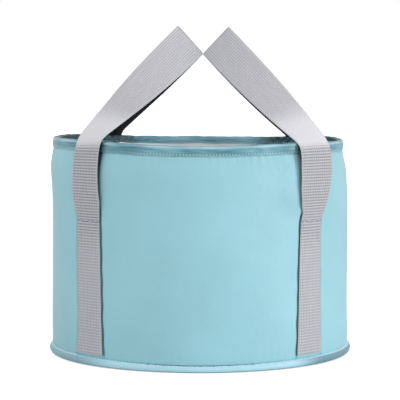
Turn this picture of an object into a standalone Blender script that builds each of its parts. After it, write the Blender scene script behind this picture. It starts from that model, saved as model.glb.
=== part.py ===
"""Collapsible washbasin: a round, foam-padded fabric bowl with two webbing handles.

Metres, +Z up, +Y away from the front. The origin is the centre of the underside.
"""

import math

import bmesh
import bpy
from mathutils import Matrix, Vector

# Overall sizes
BASIN_HEIGHT = 0.212
WALL_RADIUS = 0.150
RIM_DRAW_IN = 0.0044
SHOULDER_HEIGHT = 0.188

# Gap between pieces that touch
CLEARANCE = 0.0003

# Wall layers, from the outside in
OUTER_FABRIC_THICKNESS = 0.0006
WALL_FOAM_THICKNESS = 0.0046
LINER_THICKNESS = 0.0005
RIM_FOAM_PINCH = 0.0020
FOAM_BANDS = 4

# Base layers, from the floor up
BASE_FABRIC_THICKNESS = 0.0008
BASE_FOAM_THICKNESS = 0.0050

# Piping round the bottom edge
PIPING_RADIUS = 0.0040
PIPING_TAPE_THICKNESS = 0.0005
PIPING_STAND_OUT = 0.0025
PIPING_SEAM_OPENING = math.radians(40)
PIPING_STITCH_ANGLE = math.radians(42)

# Binding over the rim
BINDING_HEIGHT = 0.0115
BINDING_THICKNESS = 0.0008
BINDING_CROWN = 0.0022
RIM_STITCH_RISE = 0.0015

# Sewing thread
THREAD_RADIUS = 0.0003
TACK_LENGTH = 0.024
TACK_ROW_HEIGHT = 0.0012
TACK_ROW_THICKNESS = 0.0005

# Seam tapes at the back
OUTER_SEAM_WIDTH = 0.010
OUTER_SEAM_THICKNESS = 0.0005
LINER_SEAM_WIDTH = 0.020
LINER_SEAM_THICKNESS = 0.0004

# Webbing straps and the handle loops that they make
STRAP_WIDTH = 0.038
STRAP_THICKNESS = 0.0016
STRAP_AZIMUTH = math.radians(45)
TACK_HEIGHT = 0.140
ROOT_LENGTH = 0.025
STRAP_STAND_OFF = 0.0032
HANDLE_LEAN = math.radians(41.9)
HANDLE_PEAK_GAP = 0.0006
RIM_BEND_DROP = 0.0025
RIM_BEND_RADIUS = 0.020
PEAK_BEND_RADIUS = 0.022
TWIST_EASE = 2.2

# How finely round and bent shapes are cut
ROUND_STEPS = 64
PIPING_STEPS = 8
THREAD_STEPS = 4
CROWN_STEPS = 4
TAPER_STEPS = 2
BEND_STEPS = 6
PEAK_STEPS = 8
SIDE_STEPS = 8
STRAP_ACROSS_STEPS = 4

MERGE_DISTANCE = 0.00001
SHARP_ANGLE = math.radians(35)

# Heights and radii that follow from the sizes above
PIPING_CENTRE_RADIUS = WALL_RADIUS + PIPING_STAND_OUT - PIPING_RADIUS
PIPING_CENTRE_HEIGHT = PIPING_RADIUS + CLEARANCE
WALL_BOTTOM = PIPING_CENTRE_HEIGHT + PIPING_RADIUS + CLEARANCE
WALL_TOP = BASIN_HEIGHT - BINDING_CROWN - CLEARANCE
BINDING_BOTTOM = BASIN_HEIGHT - BINDING_HEIGHT
BAND_PITCH = (WALL_TOP - WALL_BOTTOM + CLEARANCE) / FOAM_BANDS
FOAM_DEPTH = OUTER_FABRIC_THICKNESS + CLEARANCE
LINER_DEPTH = FOAM_DEPTH + WALL_FOAM_THICKNESS + CLEARANCE
WALL_DEPTH = LINER_DEPTH + LINER_THICKNESS
BASE_RADIUS = PIPING_CENTRE_RADIUS - PIPING_RADIUS - CLEARANCE
BASE_FOAM_TOP = BASE_FABRIC_THICKNESS + CLEARANCE + BASE_FOAM_THICKNESS
LINER_BOTTOM = BASE_FOAM_TOP + CLEARANCE
LEG_BOTTOM = WALL_BOTTOM + CLEARANCE
ROOT_TOP = TACK_HEIGHT + ROOT_LENGTH
STRAP_SEWN_RADIUS = WALL_RADIUS + CLEARANCE + STRAP_THICKNESS / 2
TACK_BAND = int((TACK_HEIGHT - WALL_BOTTOM) / BAND_PITCH)
PIVOT_X = STRAP_SEWN_RADIUS * math.cos(STRAP_AZIMUTH)
UP = Vector((0, 0, 1))


def clear_scene():
    for obj in list(bpy.data.objects):
        bpy.data.objects.remove(obj)


def make_collection(name):
    collection = bpy.data.collections.new(name)
    bpy.context.scene.collection.children.link(collection)
    return collection


def make_material(name, colour, roughness, metallic=0.0):
    material = bpy.data.materials.new(name)
    material.use_nodes = True
    shader = material.node_tree.nodes["Principled BSDF"]
    shader.inputs["Base Color"].default_value = (*colour, 1)
    shader.inputs["Roughness"].default_value = roughness
    shader.inputs["Metallic"].default_value = metallic
    return material


def make_object(name, mesh, material, axis=None):
    """An object in the washbasin's collection, carried by the empty on its axis if it has one."""
    obj = bpy.data.objects.new(name, mesh)
    mesh.materials.append(material)
    bpy.data.collections["collapsible_washbasin"].objects.link(obj)
    if axis:
        obj.parent = axis
        obj.location = -axis.location
    return obj


def make_axis(name, place):
    """An empty that stands on a joint's axis and carries the pieces that move about it."""
    axis = bpy.data.objects.new(name, None)
    axis.empty_display_size = STRAP_WIDTH
    axis.location = place
    bpy.data.collections["collapsible_washbasin"].objects.link(axis)
    return axis


def ease(share):
    """0 to 1 with a level start and end."""
    share = min(max(share, 0), 1)
    return share * share * (3 - 2 * share)


def rim_share(height):
    return ease((height - SHOULDER_HEIGHT) / (WALL_TOP - SHOULDER_HEIGHT))


def layer_radius(depth, height):
    """Radius at a depth into the wall. The wall leans in at the rim, and its foam is pinched there."""
    pinched = RIM_FOAM_PINCH * min(max(depth - FOAM_DEPTH, 0) / WALL_FOAM_THICKNESS, 1)
    return WALL_RADIUS - depth - rim_share(height) * (RIM_DRAW_IN - pinched)


def wall_heights(low, high):
    """The two ends, and the levels between them at which the wall changes its lean."""
    step = (WALL_TOP - SHOULDER_HEIGHT) / TAPER_STEPS
    levels = [SHOULDER_HEIGHT + step * i for i in range(TAPER_STEPS + 1)]
    return [low] + [level for level in levels if low < level < high] + [high]


def wall_profile(outer_depth, inner_depth, low, high):
    heights = wall_heights(low, high)
    outside = [(layer_radius(outer_depth, height), height) for height in reversed(heights)]
    inside = [(layer_radius(inner_depth, height), height) for height in heights]
    return outside + inside


def arc(radius, height, size, start, end, steps, flatten=1.0):
    """Points from one angle to another about (radius, height), 0 pointing outward and 90 degrees up."""
    angles = [start + (end - start) * i / steps for i in range(steps + 1)]
    return [
        (radius + size * math.cos(angle), height + flatten * size * math.sin(angle)) for angle in angles
    ]


def turned(name, profile, material, axis=None, closed=True):
    """A profile carried round the Z axis by a Screw modifier. An open one starts and ends on the axis."""
    points = [(radius, 0, height) for radius, height in profile]
    edges = [(i, i + 1) for i in range(len(points) - 1)]
    if closed:
        edges.append((len(points) - 1, 0))
    mesh = bpy.data.meshes.new(name)
    mesh.from_pydata(points, edges, [])
    obj = make_object(name, mesh, material, axis)
    screw = obj.modifiers.new("Turn", "SCREW")
    screw.steps = ROUND_STEPS
    screw.render_steps = ROUND_STEPS
    screw.use_merge_vertices = True
    screw.merge_threshold = MERGE_DISTANCE
    screw.use_smooth_shade = True
    return obj


def disc(name, radius, bottom, thickness, material):
    top = bottom + thickness
    return turned(name, [(0, top), (radius, top), (radius, bottom), (0, bottom)], material, closed=False)


def strip(name, stations, thickness, material, axis=None):
    """A flat strip lofted through stations, each a row of points across it with their outward directions."""
    shape = bmesh.new()
    rings = []
    for row in stations:
        front = [shape.verts.new(point + outward * thickness / 2) for point, outward in row]
        back = [shape.verts.new(point - outward * thickness / 2) for point, outward in reversed(row)]
        rings.append(front + back)
    for first, second in zip(rings, rings[1:]):
        for i in range(len(first)):
            j = (i + 1) % len(first)
            shape.faces.new((first[i], first[j], second[j], second[i]))
    shape.faces.new(rings[0])
    shape.faces.new(rings[-1])
    bmesh.ops.recalc_face_normals(shape, faces=shape.faces)
    mesh = bpy.data.meshes.new(name)
    shape.to_mesh(mesh)
    shape.free()
    mesh.shade_smooth()
    mesh.set_sharp_from_angle(angle=SHARP_ANGLE)
    return make_object(name, mesh, material, axis)


def wrapped_row(azimuth, radius, height, width, flatness=0.0):
    """Points across a strip that wraps the wall, or lies flat against its tangent plane."""
    outward = Vector((math.sin(azimuth), -math.cos(azimuth), 0))
    along = Vector((math.cos(azimuth), math.sin(azimuth), 0))
    row = []
    for i in range(STRAP_ACROSS_STEPS + 1):
        offset = width * (i / STRAP_ACROSS_STEPS - 0.5)
        turn = offset / radius
        round_point = radius * (math.cos(turn) * outward + math.sin(turn) * along)
        flat_point = radius * outward + offset * along
        round_way = math.cos(turn) * outward + math.sin(turn) * along
        point = round_point.lerp(flat_point, flatness) + height * UP
        row.append((point, round_way.lerp(outward, flatness).normalized()))
    return row


def base_parts(fabric, foam, liner):
    disc("base_fabric", BASE_RADIUS, 0, BASE_FABRIC_THICKNESS, fabric)
    disc("base_foam", BASE_RADIUS, BASE_FABRIC_THICKNESS + CLEARANCE, BASE_FOAM_THICKNESS, foam)
    floor_radius = layer_radius(WALL_DEPTH, LINER_BOTTOM) - CLEARANCE
    disc("liner_floor", floor_radius, LINER_BOTTOM, LINER_THICKNESS, liner)


def piping_parts(fabric, cord, thread):
    cord_radius = PIPING_RADIUS - PIPING_TAPE_THICKNESS - CLEARANCE
    full_turn = 2 * math.pi * (1 - 1 / PIPING_STEPS)
    core = arc(PIPING_CENTRE_RADIUS, PIPING_CENTRE_HEIGHT, cord_radius, 0, -full_turn, PIPING_STEPS - 1)
    turned("piping_cord", core, cord)
    start = math.pi - PIPING_SEAM_OPENING / 2
    end = PIPING_SEAM_OPENING / 2 - math.pi
    centre = (PIPING_CENTRE_RADIUS, PIPING_CENTRE_HEIGHT)
    outside = arc(*centre, PIPING_RADIUS, start, end, PIPING_STEPS)
    inside = arc(*centre, PIPING_RADIUS - PIPING_TAPE_THICKNESS, end, start, PIPING_STEPS)
    turned("piping_tape", outside + inside, fabric)
    reach = PIPING_RADIUS + CLEARANCE + THREAD_RADIUS
    radius = PIPING_CENTRE_RADIUS + reach * math.cos(PIPING_STITCH_ANGLE)
    height = PIPING_CENTRE_HEIGHT + reach * math.sin(PIPING_STITCH_ANGLE)
    thread_ring("piping_topstitch", radius, height, thread)


def thread_ring(name, radius, height, thread, axis=None):
    """One row of stitching round the basin, as a thin unbroken ring."""
    full_turn = 2 * math.pi * (1 - 1 / THREAD_STEPS)
    turned(name, arc(radius, height, THREAD_RADIUS, 0, -full_turn, THREAD_STEPS - 1), thread, axis)


def wall_parts(fabric, foam, liner, axes):
    turned("outer_wall", wall_profile(0, OUTER_FABRIC_THICKNESS, WALL_BOTTOM, WALL_TOP), fabric)
    turned("liner_wall", wall_profile(LINER_DEPTH, WALL_DEPTH, LINER_BOTTOM, WALL_TOP), liner)
    for i in range(FOAM_BANDS):
        low = WALL_BOTTOM + BAND_PITCH * i
        profile = wall_profile(FOAM_DEPTH, FOAM_DEPTH + WALL_FOAM_THICKNESS, low, low + BAND_PITCH - CLEARANCE)
        turned(f"wall_foam_{i + 1}", profile, foam, axes[i])


def back_seam(name, depth, width, thickness, low, high, material):
    heights = wall_heights(low, high)
    stations = [wrapped_row(math.pi, layer_radius(depth, height), height, width) for height in heights]
    strip(name, stations, thickness, material)


def seam_parts(fabric, liner):
    outer_depth = -CLEARANCE - OUTER_SEAM_THICKNESS / 2
    outer_top = BINDING_BOTTOM - CLEARANCE
    back_seam(
        "outer_back_seam", outer_depth, OUTER_SEAM_WIDTH, OUTER_SEAM_THICKNESS, LEG_BOTTOM, outer_top, fabric
    )
    liner_depth = WALL_DEPTH + CLEARANCE + LINER_SEAM_THICKNESS / 2
    liner_low = LINER_BOTTOM + LINER_THICKNESS + CLEARANCE
    back_seam(
        "liner_back_seam", liner_depth, LINER_SEAM_WIDTH, LINER_SEAM_THICKNESS, liner_low, outer_top, liner
    )


def rim_parts(satin, thread, axis):
    outer_leg = -CLEARANCE - BINDING_THICKNESS
    inner_leg = WALL_DEPTH + CLEARANCE + BINDING_THICKNESS
    crown_base = BASIN_HEIGHT - BINDING_CROWN
    outside = [(layer_radius(outer_leg, height), height) for height in (crown_base, BINDING_BOTTOM)]
    outside_back = [(layer_radius(-CLEARANCE, height), height) for height in (BINDING_BOTTOM, crown_base)]
    inside_back = [
        (layer_radius(WALL_DEPTH + CLEARANCE, height), height) for height in (crown_base, BINDING_BOTTOM)
    ]
    inside = [(layer_radius(inner_leg, height), height) for height in (BINDING_BOTTOM, crown_base)]
    half_width = (outside[0][0] - inside[-1][0]) / 2
    crown = arc(
        inside[-1][0] + half_width,
        crown_base,
        half_width,
        math.pi,
        0,
        CROWN_STEPS,
        BINDING_CROWN / half_width,
    )
    turned("rim_binding", outside + outside_back + inside_back + inside + crown[1:-1], satin, axis)
    height = BINDING_BOTTOM + RIM_STITCH_RISE
    stand_off = CLEARANCE + THREAD_RADIUS
    thread_ring("rim_stitch_outer", layer_radius(outer_leg, height) + stand_off, height, thread, axis)
    thread_ring("rim_stitch_inner", layer_radius(inner_leg, height) - stand_off, height, thread, axis)


def strap_radius(height):
    """Distance of the strap's middle from the axis: sewn to the wall, then standing a little off it."""
    share = ease((height - TACK_HEIGHT) / (BASIN_HEIGHT - TACK_HEIGHT))
    return STRAP_SEWN_RADIUS + STRAP_STAND_OFF * share


def leg_parts(webbing, thread, tack_axis):
    heights = [LEG_BOTTOM, TACK_HEIGHT, (TACK_HEIGHT + ROOT_TOP) / 2, ROOT_TOP]
    for side, turn in (("left", -1), ("right", 1)):
        for end, azimuth in (("front", STRAP_AZIMUTH), ("rear", math.pi - STRAP_AZIMUTH)):
            stations = []
            for height in heights:
                flatness = ease((height - TACK_HEIGHT) / ROOT_LENGTH)
                stations.append(
                    wrapped_row(turn * azimuth, strap_radius(height), height, STRAP_WIDTH, flatness)
                )
            strip(f"{end}_{side}_strap_leg", stations, STRAP_THICKNESS, webbing)
            tack_radius = STRAP_SEWN_RADIUS + (STRAP_THICKNESS + TACK_ROW_THICKNESS) / 2 + CLEARANCE
            rows = [
                wrapped_row(turn * azimuth, tack_radius, TACK_HEIGHT + rise, TACK_LENGTH)
                for rise in (-TACK_ROW_HEIGHT, 0)
            ]
            strip(f"{end}_{side}_tack", rows, TACK_ROW_THICKNESS, thread, tack_axis)


def rounded_corner(before, corner, after, radius, steps):
    """Points of the arc that rounds a corner of a path."""
    back = (before - corner).normalized()
    ahead = (after - corner).normalized()
    half = back.angle(ahead) / 2
    centre = corner + (back + ahead).normalized() * radius / math.sin(half)
    first = corner + back * radius / math.tan(half) - centre
    axis = first.cross(corner - centre).normalized()
    sweep = math.pi - 2 * half
    return [centre + Matrix.Rotation(sweep * i / steps, 3, axis) @ first for i in range(steps + 1)]


def apex_length(peak_length, half_span):
    """Distance to the corner whose rounding leaves the peak where it belongs."""
    centre = peak_length - PEAK_BEND_RADIUS
    reach = math.hypot(centre, half_span)
    half_angle = math.atan2(half_span, centre) - math.asin(PEAK_BEND_RADIUS / reach)
    return half_span / math.tan(half_angle)


def handle_peak_length(run):
    """Length up the lean from the rim to the peak at which the two handles just clear each other."""
    edge = STRAP_WIDTH / 2 * math.cos(HANDLE_LEAN) + STRAP_THICKNESS / 2 * math.sin(HANDLE_LEAN)
    return (run - HANDLE_PEAK_GAP / 2 - edge) / math.sin(HANDLE_LEAN)


def handle_stretches():
    """The left handle's front half: its root and bend at the rim, and the rounded bend at its peak."""
    out = Vector((-math.sin(STRAP_AZIMUTH), -math.cos(STRAP_AZIMUTH), 0))
    root = out * strap_radius(ROOT_TOP) + (ROOT_TOP + CLEARANCE) * UP
    bend = out * strap_radius(BASIN_HEIGHT) + (BASIN_HEIGHT - RIM_BEND_DROP) * UP
    mirrored = Vector((bend.x, -bend.y, bend.z))
    rise_way = Vector((math.sin(HANDLE_LEAN), 0, math.cos(HANDLE_LEAN)))
    level = Vector((bend.x, 0, bend.z))
    apex = level + rise_way * apex_length(handle_peak_length(-bend.x), -bend.y)
    rim_bend = rounded_corner(root, bend, apex, RIM_BEND_RADIUS, BEND_STEPS)
    peak_bend = rounded_corner(bend, apex, mirrored, PEAK_BEND_RADIUS, 2 * PEAK_STEPS)
    return [root] + rim_bend, peak_bend[: PEAK_STEPS + 1]


def handle_half():
    """Stations of the left handle's front half: the place, and the way across the strap and out of it."""
    lower, upper = handle_stretches()
    side = upper[0] - lower[-1]
    middle = [lower[-1].lerp(upper[0], i / SIDE_STEPS) for i in range(1, SIDE_STEPS)]
    points = lower + middle + upper
    past_peak = Vector((upper[-2].x, -upper[-2].y, upper[-2].z))
    below_root = points[0] - (points[1] - points[0])
    neighbours = [below_root] + points + [past_peak]
    across_foot = Vector((math.cos(STRAP_AZIMUTH), -math.sin(STRAP_AZIMUTH), 0))
    across_peak = Vector((math.cos(HANDLE_LEAN), 0, -math.sin(HANDLE_LEAN)))
    stations = []
    for i, point in enumerate(points):
        along = (neighbours[i + 2] - neighbours[i]).normalized()
        share = min(max((point - lower[-1]).dot(side) / side.length_squared, 0), 1)
        across = across_foot.lerp(across_peak, 1 - (1 - share) ** TWIST_EASE)
        across = (across - across.dot(along) * along).normalized()
        stations.append((point, across, across.cross(along)))
    return stations


def handle_rows(sign):
    """Stations of a whole handle, front root to rear root. The sign is 1 for the left one, -1 for the right."""
    half = handle_half()
    rows = []
    for back, stations in ((1, half), (-1, reversed(half[:-1]))):
        flip = Vector((sign, back, 1))
        for point, across, outward in stations:
            edges = [point - across * STRAP_WIDTH / 2, point + across * STRAP_WIDTH / 2]
            rows.append([(edge * flip, outward * flip) for edge in edges])
    return rows


def handle_parts(webbing, axes):
    for name, sign in (("left_handle_loop", 1), ("right_handle_loop", -1)):
        strip(name, handle_rows(sign), STRAP_THICKNESS, webbing, axes[name])


def build():
    clear_scene()
    make_collection("collapsible_washbasin")
    wall_fabric = make_material("wall_fabric", (0.30, 0.56, 0.63), 0.45)
    satin = make_material("satin_binding", (0.17, 0.34, 0.40), 0.35)
    liner = make_material("silver_liner", (0.72, 0.80, 0.84), 0.30)
    foam = make_material("white_foam", (0.85, 0.86, 0.86), 0.80)
    webbing = make_material("grey_webbing", (0.44, 0.44, 0.46), 0.75)
    thread = make_material("pale_thread", (0.62, 0.76, 0.80), 0.60)
    rim_axis = make_axis("rim_slide_axis", (0, 0, BINDING_BOTTOM))
    band_axes = [
        make_axis(f"foam_{i + 1}_slide_axis", (0, 0, WALL_BOTTOM + BAND_PITCH * i))
        for i in range(1, FOAM_BANDS - 1)
    ]
    wall_axes = [None, *band_axes, rim_axis]
    handle_axes = {
        "left_handle_loop": make_axis("left_handle_axis", (-PIVOT_X, 0, TACK_HEIGHT)),
        "right_handle_loop": make_axis("right_handle_axis", (PIVOT_X, 0, TACK_HEIGHT)),
    }
    base_parts(wall_fabric, foam, liner)
    piping_parts(wall_fabric, foam, thread)
    wall_parts(wall_fabric, foam, liner, wall_axes)
    seam_parts(wall_fabric, liner)
    rim_parts(satin, thread, rim_axis)
    leg_parts(webbing, thread, wall_axes[TACK_BAND])
    handle_parts(webbing, handle_axes)


build()
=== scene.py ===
"""Looks of the collapsible washbasin: a padded fabric bowl with a satin rim, piping and webbing handles.

Metres, +Z up, +Y away from the front, as in the CAD. It is laid out as an add-on and run as a script.
"""

import math

import bpy
import numpy as np
from bpy.props import FloatProperty, FloatVectorProperty, PointerProperty
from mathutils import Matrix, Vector


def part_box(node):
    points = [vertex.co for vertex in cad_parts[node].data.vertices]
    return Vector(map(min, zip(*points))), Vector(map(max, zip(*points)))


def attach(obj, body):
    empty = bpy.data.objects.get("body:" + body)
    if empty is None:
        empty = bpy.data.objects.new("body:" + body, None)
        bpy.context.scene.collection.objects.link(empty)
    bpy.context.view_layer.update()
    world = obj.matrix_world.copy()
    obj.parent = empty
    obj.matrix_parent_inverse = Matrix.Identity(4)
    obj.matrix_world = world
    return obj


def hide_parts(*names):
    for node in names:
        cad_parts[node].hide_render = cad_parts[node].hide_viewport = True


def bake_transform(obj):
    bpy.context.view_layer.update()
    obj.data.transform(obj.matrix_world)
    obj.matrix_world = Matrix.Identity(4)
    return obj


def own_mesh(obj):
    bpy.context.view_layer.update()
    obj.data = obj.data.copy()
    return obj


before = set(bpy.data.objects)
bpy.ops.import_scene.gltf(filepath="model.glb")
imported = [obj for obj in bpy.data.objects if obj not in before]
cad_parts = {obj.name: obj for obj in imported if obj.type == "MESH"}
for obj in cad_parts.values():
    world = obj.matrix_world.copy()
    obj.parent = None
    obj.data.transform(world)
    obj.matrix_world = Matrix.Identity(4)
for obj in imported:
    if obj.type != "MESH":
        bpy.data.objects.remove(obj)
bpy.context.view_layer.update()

bl_info = {
    "name": "Collapsible washbasin",
    "version": (1, 0, 0),
    "blender": (4, 5, 0),
    "location": "3D View > Sidebar > Washbasin",
    "description": "Builds a soft washbasin with a satin rim, piping and webbing handles",
    "category": "Object",
}

TURN = 2 * math.pi

# Depths of the wall's layers below its outer face, as in the CAD
FOAM_OUTSIDE = 0.0009
FOAM_INSIDE = 0.0055
LINER_OUTSIDE = 0.0058
LINER_INSIDE = 0.0063

# Heights of the liner's upper edge, and above which the wall follows the waves of the rim
LINER_TOP = 0.2086
DRAWN_UP_FROM = 0.120

# Heights above the wall's lower edge up to which it sags at the front, and up to which it is tucked in
SAG_HEIGHT = 0.035
TUCK_HEIGHT = 0.0042

# Heights above its tack at which a strap is clear of the wall, and the wall has bulged out to it
STRAP_LIFT = 0.022
BULGE_LIFT = 0.030

# Where the rim dents in at a strap: how far inside its edge, how broadly, from which height and how soon
DENT_INSIDE, DENT_BREADTH, DENT_FROM, DENT_RISE = 0.0070, 0.0040, 0.168, 0.036

# How far outside a free strap's edge the wall bulges most, and how broadly
BULGE_OUTSIDE, BULGE_BREADTH = 0.004, 0.015

# From which height the wall leans to the left, and how soon
SWAY_FROM, SWAY_RISE = 0.150, 0.05

# Distances from a strap, and from the wall's upper and lower edge, at which its waves have their full height
CALM_BESIDE, CALM_ENDS = 0.022, 0.02

# The swell beside a strap: how soon it rises, and how soon it sinks again
SWELL_RISE, SWELL_FALL = 0.0045, 0.020

# The groove beside a strap: its distance from the edge, its breadth, and how far above the tack it ends
GROOVE_PLACE, GROOVE_BREADTH, GROOVE_END = 0.0002, 0.0010, 0.01

# The hollow behind a free strap: how far above the tack it starts, and how soon it deepens under the edge
HOLLOW_START, HOLLOW_EDGE = 0.004, 0.003

# The seam under the rim, and how far small puckers run from it and from the piping
RIM_SEAM = 0.2030
RIM_GATHERS_FADE, PIPING_GATHERS_FADE = 0.006, 0.005

# The painted shade line along a strap's edge: its place under the edge, and its breadths and strengths, inner
# and outer
LINE_PLACE = 0.0006
LINE_BREADTHS = (0.0008, 0.0007)
LINE_STRENGTHS = (0.85, 0.3)

# How much broader the line's inner side gets near the rim, from which height and how soon
LINE_SPREAD, SPREAD_FROM, SPREAD_RISE = 0.0006, 0.182, 0.018

# The shade on the wall behind a free strap: its strength, where it ends under the strap, and how softly
BEHIND_STRENGTH, BEHIND_END, BEHIND_FADE = 0.6, 0.009, 0.004

# The shade under the binding's hem: its strength, height and breadth
HEM_STRENGTH, HEM_HEIGHT, HEM_BREADTH = 0.2, 0.2019, 0.0009

# Breadth of the front over which the wall sags and the piping is slimmer, as an angle
FRONT_BREADTH = 0.62

# Shares of the way over the binding where its outer leg ends and its inner leg starts, and the way's length
OUTER_LEG = 0.36
INNER_LEG = 0.64
BINDING_WIDTH = 0.023

# Rows of stitches: their shares of the way over the binding, and their places along its tape in metres
OUTER_ROW, INNER_ROW = 0.078, 0.900
OUTER_ROW_PLACE, INNER_ROW_PLACE = 0.0018, 0.0207

# How far stitches stand out of what they are sewn to, and the share of their pitch that they fill
STITCH_LIFT = 0.00012
STITCH_FILL = 0.66

# Widths and heights of the stitches in rows, with the length for those that don't fill a share of their pitch
RIM_STITCH = (0.0009, 0.0006)
PIPING_STITCH = (0.0010, 0.0007)
SEAM_STITCH = (0.0023, 0.0006, 0.0005)
TACK_STITCH = (0.0046, 0.0007, 0.0006)

# A stitch as a bead that reaches from -1 to 1: where its rings stand, their corners, and how far its tips dip
BEAD_RINGS = (-0.88, -0.5, 0, 0.5, 0.88)
BEAD_CORNERS = 6
BEAD_DIP = 0.9

# The four stitches of a tack: their places across the strap, their slants, and their heights off the line
TACK_PLACES = (-0.0105, -0.0035, 0.0035, 0.0105)
TACK_SLANTS = (0.16, -0.10, 0.12, -0.14)
TACK_HEIGHTS = (-0.0007, 0.0006, -0.0002, 0.0005)

# Radius of the hole left in the middle of a disc before its end is closed
DISC_START = 0.004

# How far the binding's face stands off the wall and the liner
BINDING_CLEARANCE = 0.0011

# Where the binding is pulled in by its stitches: the share of the way from a hem, how broadly and how far
PULL_PLACE, PULL_BREADTH, PULL_DEPTH = 0.085, 0.035, 0.00040

# How far the binding's legs bulge out between hem and fold, and how far its hems waver
LEG_BULGE, HEM_WAVER = 0.00030, 0.00018

# Degrees from the back between which shade is painted inside the binding, and over which it comes and goes
DARK_FROM, DARK_TO, DARK_COMES, DARK_GOES = 22, 104, 14, 12

# Where a highlight is painted on the binding: the share of the way over it, how broadly and how much
BINDING_SHINES = ((0.375, 0.045, 1.0), (0.63, 0.035, 0.5), (0, 0.09, 0.5), (1, 0.07, 0.6))

# Painted shade under the piping: how much, from which angle of its section and how soon
UNDER_STRENGTH, UNDER_FROM, UNDER_RISE = 0.8, -0.80, 0.30

# Painted shade on it at the left and right: how far to the side, how soon, and up to which angle of its
# section
SIDE_FROM, SIDE_RISE, SIDE_TOP, SIDE_FADE = 0.55, 0.25, 1.05, 0.4

# Heights of the puckers at the base's seam and of its quilting
BASE_PUCKER, BASE_QUILT = 0.0004, 0.0003

# Widths and thicknesses of the fold over the wall's seam and of the tape over the liner's
SEAM_FOLD = (0.010, 0.0005)
SEAM_TAPE = (0.020, 0.0006)

# How far the fold, its stitches and the tape stand off what they lie on
SEAM_FOLD_LIFT = 0.00055
SEAM_STITCH_LIFT = 0.00085
SEAM_TAPE_LIFT = 0.0011

# Lowest and highest stitch of the wall's seam, their pitch, and their offset from the seam's middle
SEAM_STITCHES = (0.014, 0.199, 0.0032)
SEAM_STITCH_OFFSET = 0.0036

# Distances up a handle from its tack at which its ribs fade, and at which its painted light, paler where it
# bends over the rim, ends
RIBS_END = 0.068
BEND_LIGHT_END = 0.135

# Sets of wrinkles: fewest and most waves round the basin, most waves for each unit along the other way, how
# many cosines are summed, and the seed of their chance
RAGGED_EDGE = (1, 3, 45, 6, 11)
WALL_WAVES = (2, 9, 3.5, 14, 1)
WALL_RIPPLES = (8, 18, 9, 10, 2)
RIM_GATHERS = (90, 150, 25, 12, 3)
PIPING_GATHERS = (80, 130, 25, 12, 4)
LINER_WALL_WAVES = (4, 26, 14, 16, 21)
LINER_FLOOR_WAVES = (1, 9, 30, 16, 22)
BASE_PUCKERS = (60, 110, 20, 12, 31)
BASE_QUILTING = (1, 6, 25, 14, 32)
BINDING_SLANTS = (24, 62, 60, 14, 41)
BINDING_FOLDS = (3, 16, 0.4, 10, 42)
BINDING_HEM = (8, 40, 1, 10, 44)
BINDING_SHINE = (4, 18, 0, 8, 46)
BINDING_MOTTLES = (60, 160, 3, 10, 47)
TAPE_PUCKERS = (90, 170, 0.5, 12, 51)
TAPE_WAVES = (20, 60, 0.3, 8, 52)

# Waves round the rim by which it rises and falls: how often each repeats, its cosine and its sine
RIM_WAVES = (
    (0, 0.00334, 0.0),
    (1, 0.00005, -0.00131),
    (2, -0.00170, -0.00008),
    (3, 0.00021, 0.00013),
    (4, -0.00036, 0.00018),
    (5, -0.00050, 0.00001),
    (6, 0.00015, -0.00012),
)

# Heights on a strap, and its half widths there on its inner and outer side
LEFT_STRAP_EDGES = (
    (0.009, 0.0177, 0.0208),
    (0.018, 0.0174, 0.0186),
    (0.032, 0.0168, 0.0160),
    (0.050, 0.0162, 0.0164),
    (0.100, 0.0154, 0.0174),
    (0.125, 0.0148, 0.0172),
    (0.140, 0.0144, 0.0166),
    (0.160, 0.0190, 0.0190),
)
RIGHT_STRAP_EDGES = (
    (0.009, 0.0182, 0.0166),
    (0.032, 0.0172, 0.0148),
    (0.100, 0.0158, 0.0142),
    (0.125, 0.0150, 0.0142),
    (0.140, 0.0140, 0.0150),
    (0.148, 0.0138, 0.0172),
    (0.158, 0.0172, 0.0190),
    (0.172, 0.0205, 0.0196),
    (0.190, 0.0205, 0.0196),
    (0.210, 0.0192, 0.0194),
    (0.225, 0.0190, 0.0190),
)

# Degrees from a strap's middle to its edges, and how far round an edge the wall is cut finely
STRAP_EDGE_TURN = 7.0
STRAP_EDGE_REACH = 2.2

# How finely the shapes are cut, in metres or degrees
WALL_STEP = 0.6
STRAP_EDGE_STEP = 0.2
RIM_STEP = 0.4
LINER_STEP = 1.0
WEBBING_STEP = 0.00046
PATH_STEP = 0.001
WEBBING_COLUMNS = 25

# Each lamp's name, place, size and watts. The sheen lamp stands low, where the wall mirrors it to the front
LAMPS = (
    ("key_lamp", (1.10, -1.70, 0.60), 1.6, 4.4),
    ("sheen_lamp", (1.84, -0.78, 0.30), 0.70, 11.0),
    ("fill_lamp", (-1.7, -1.0, 0.60), 2.0, 3.2),
    ("top_lamp", (-0.2, -0.35, 1.9), 1.0, 3),
)

# Half the floor's width, and how far it lies below the basin
FLOOR_REACH = 30
FLOOR_DEPTH = 0.0003


def screen_colour(red, green, blue):
    """A colour given as it looks on a screen, 0 to 255, as linear values."""
    values = np.array([red, green, blue]) / 255
    return tuple(np.where(values > 0.04045, ((values + 0.055) / 1.055) ** 2.4, values / 12.92))


def length(name, description, default):
    return FloatProperty(name=name, description=description, default=default, precision=4, unit="LENGTH")


def angle_of(name, description, degrees):
    angle = math.radians(degrees)
    return FloatProperty(name=name, description=description, default=angle, subtype="ANGLE", unit="ROTATION")


def number(name, description, default):
    return FloatProperty(name=name, description=description, default=default)


def colour(name, description, red, green, blue):
    start = screen_colour(red, green, blue)
    return FloatVectorProperty(
        name=name, description=description, default=start, subtype="COLOR", min=0, max=1
    )


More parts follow.
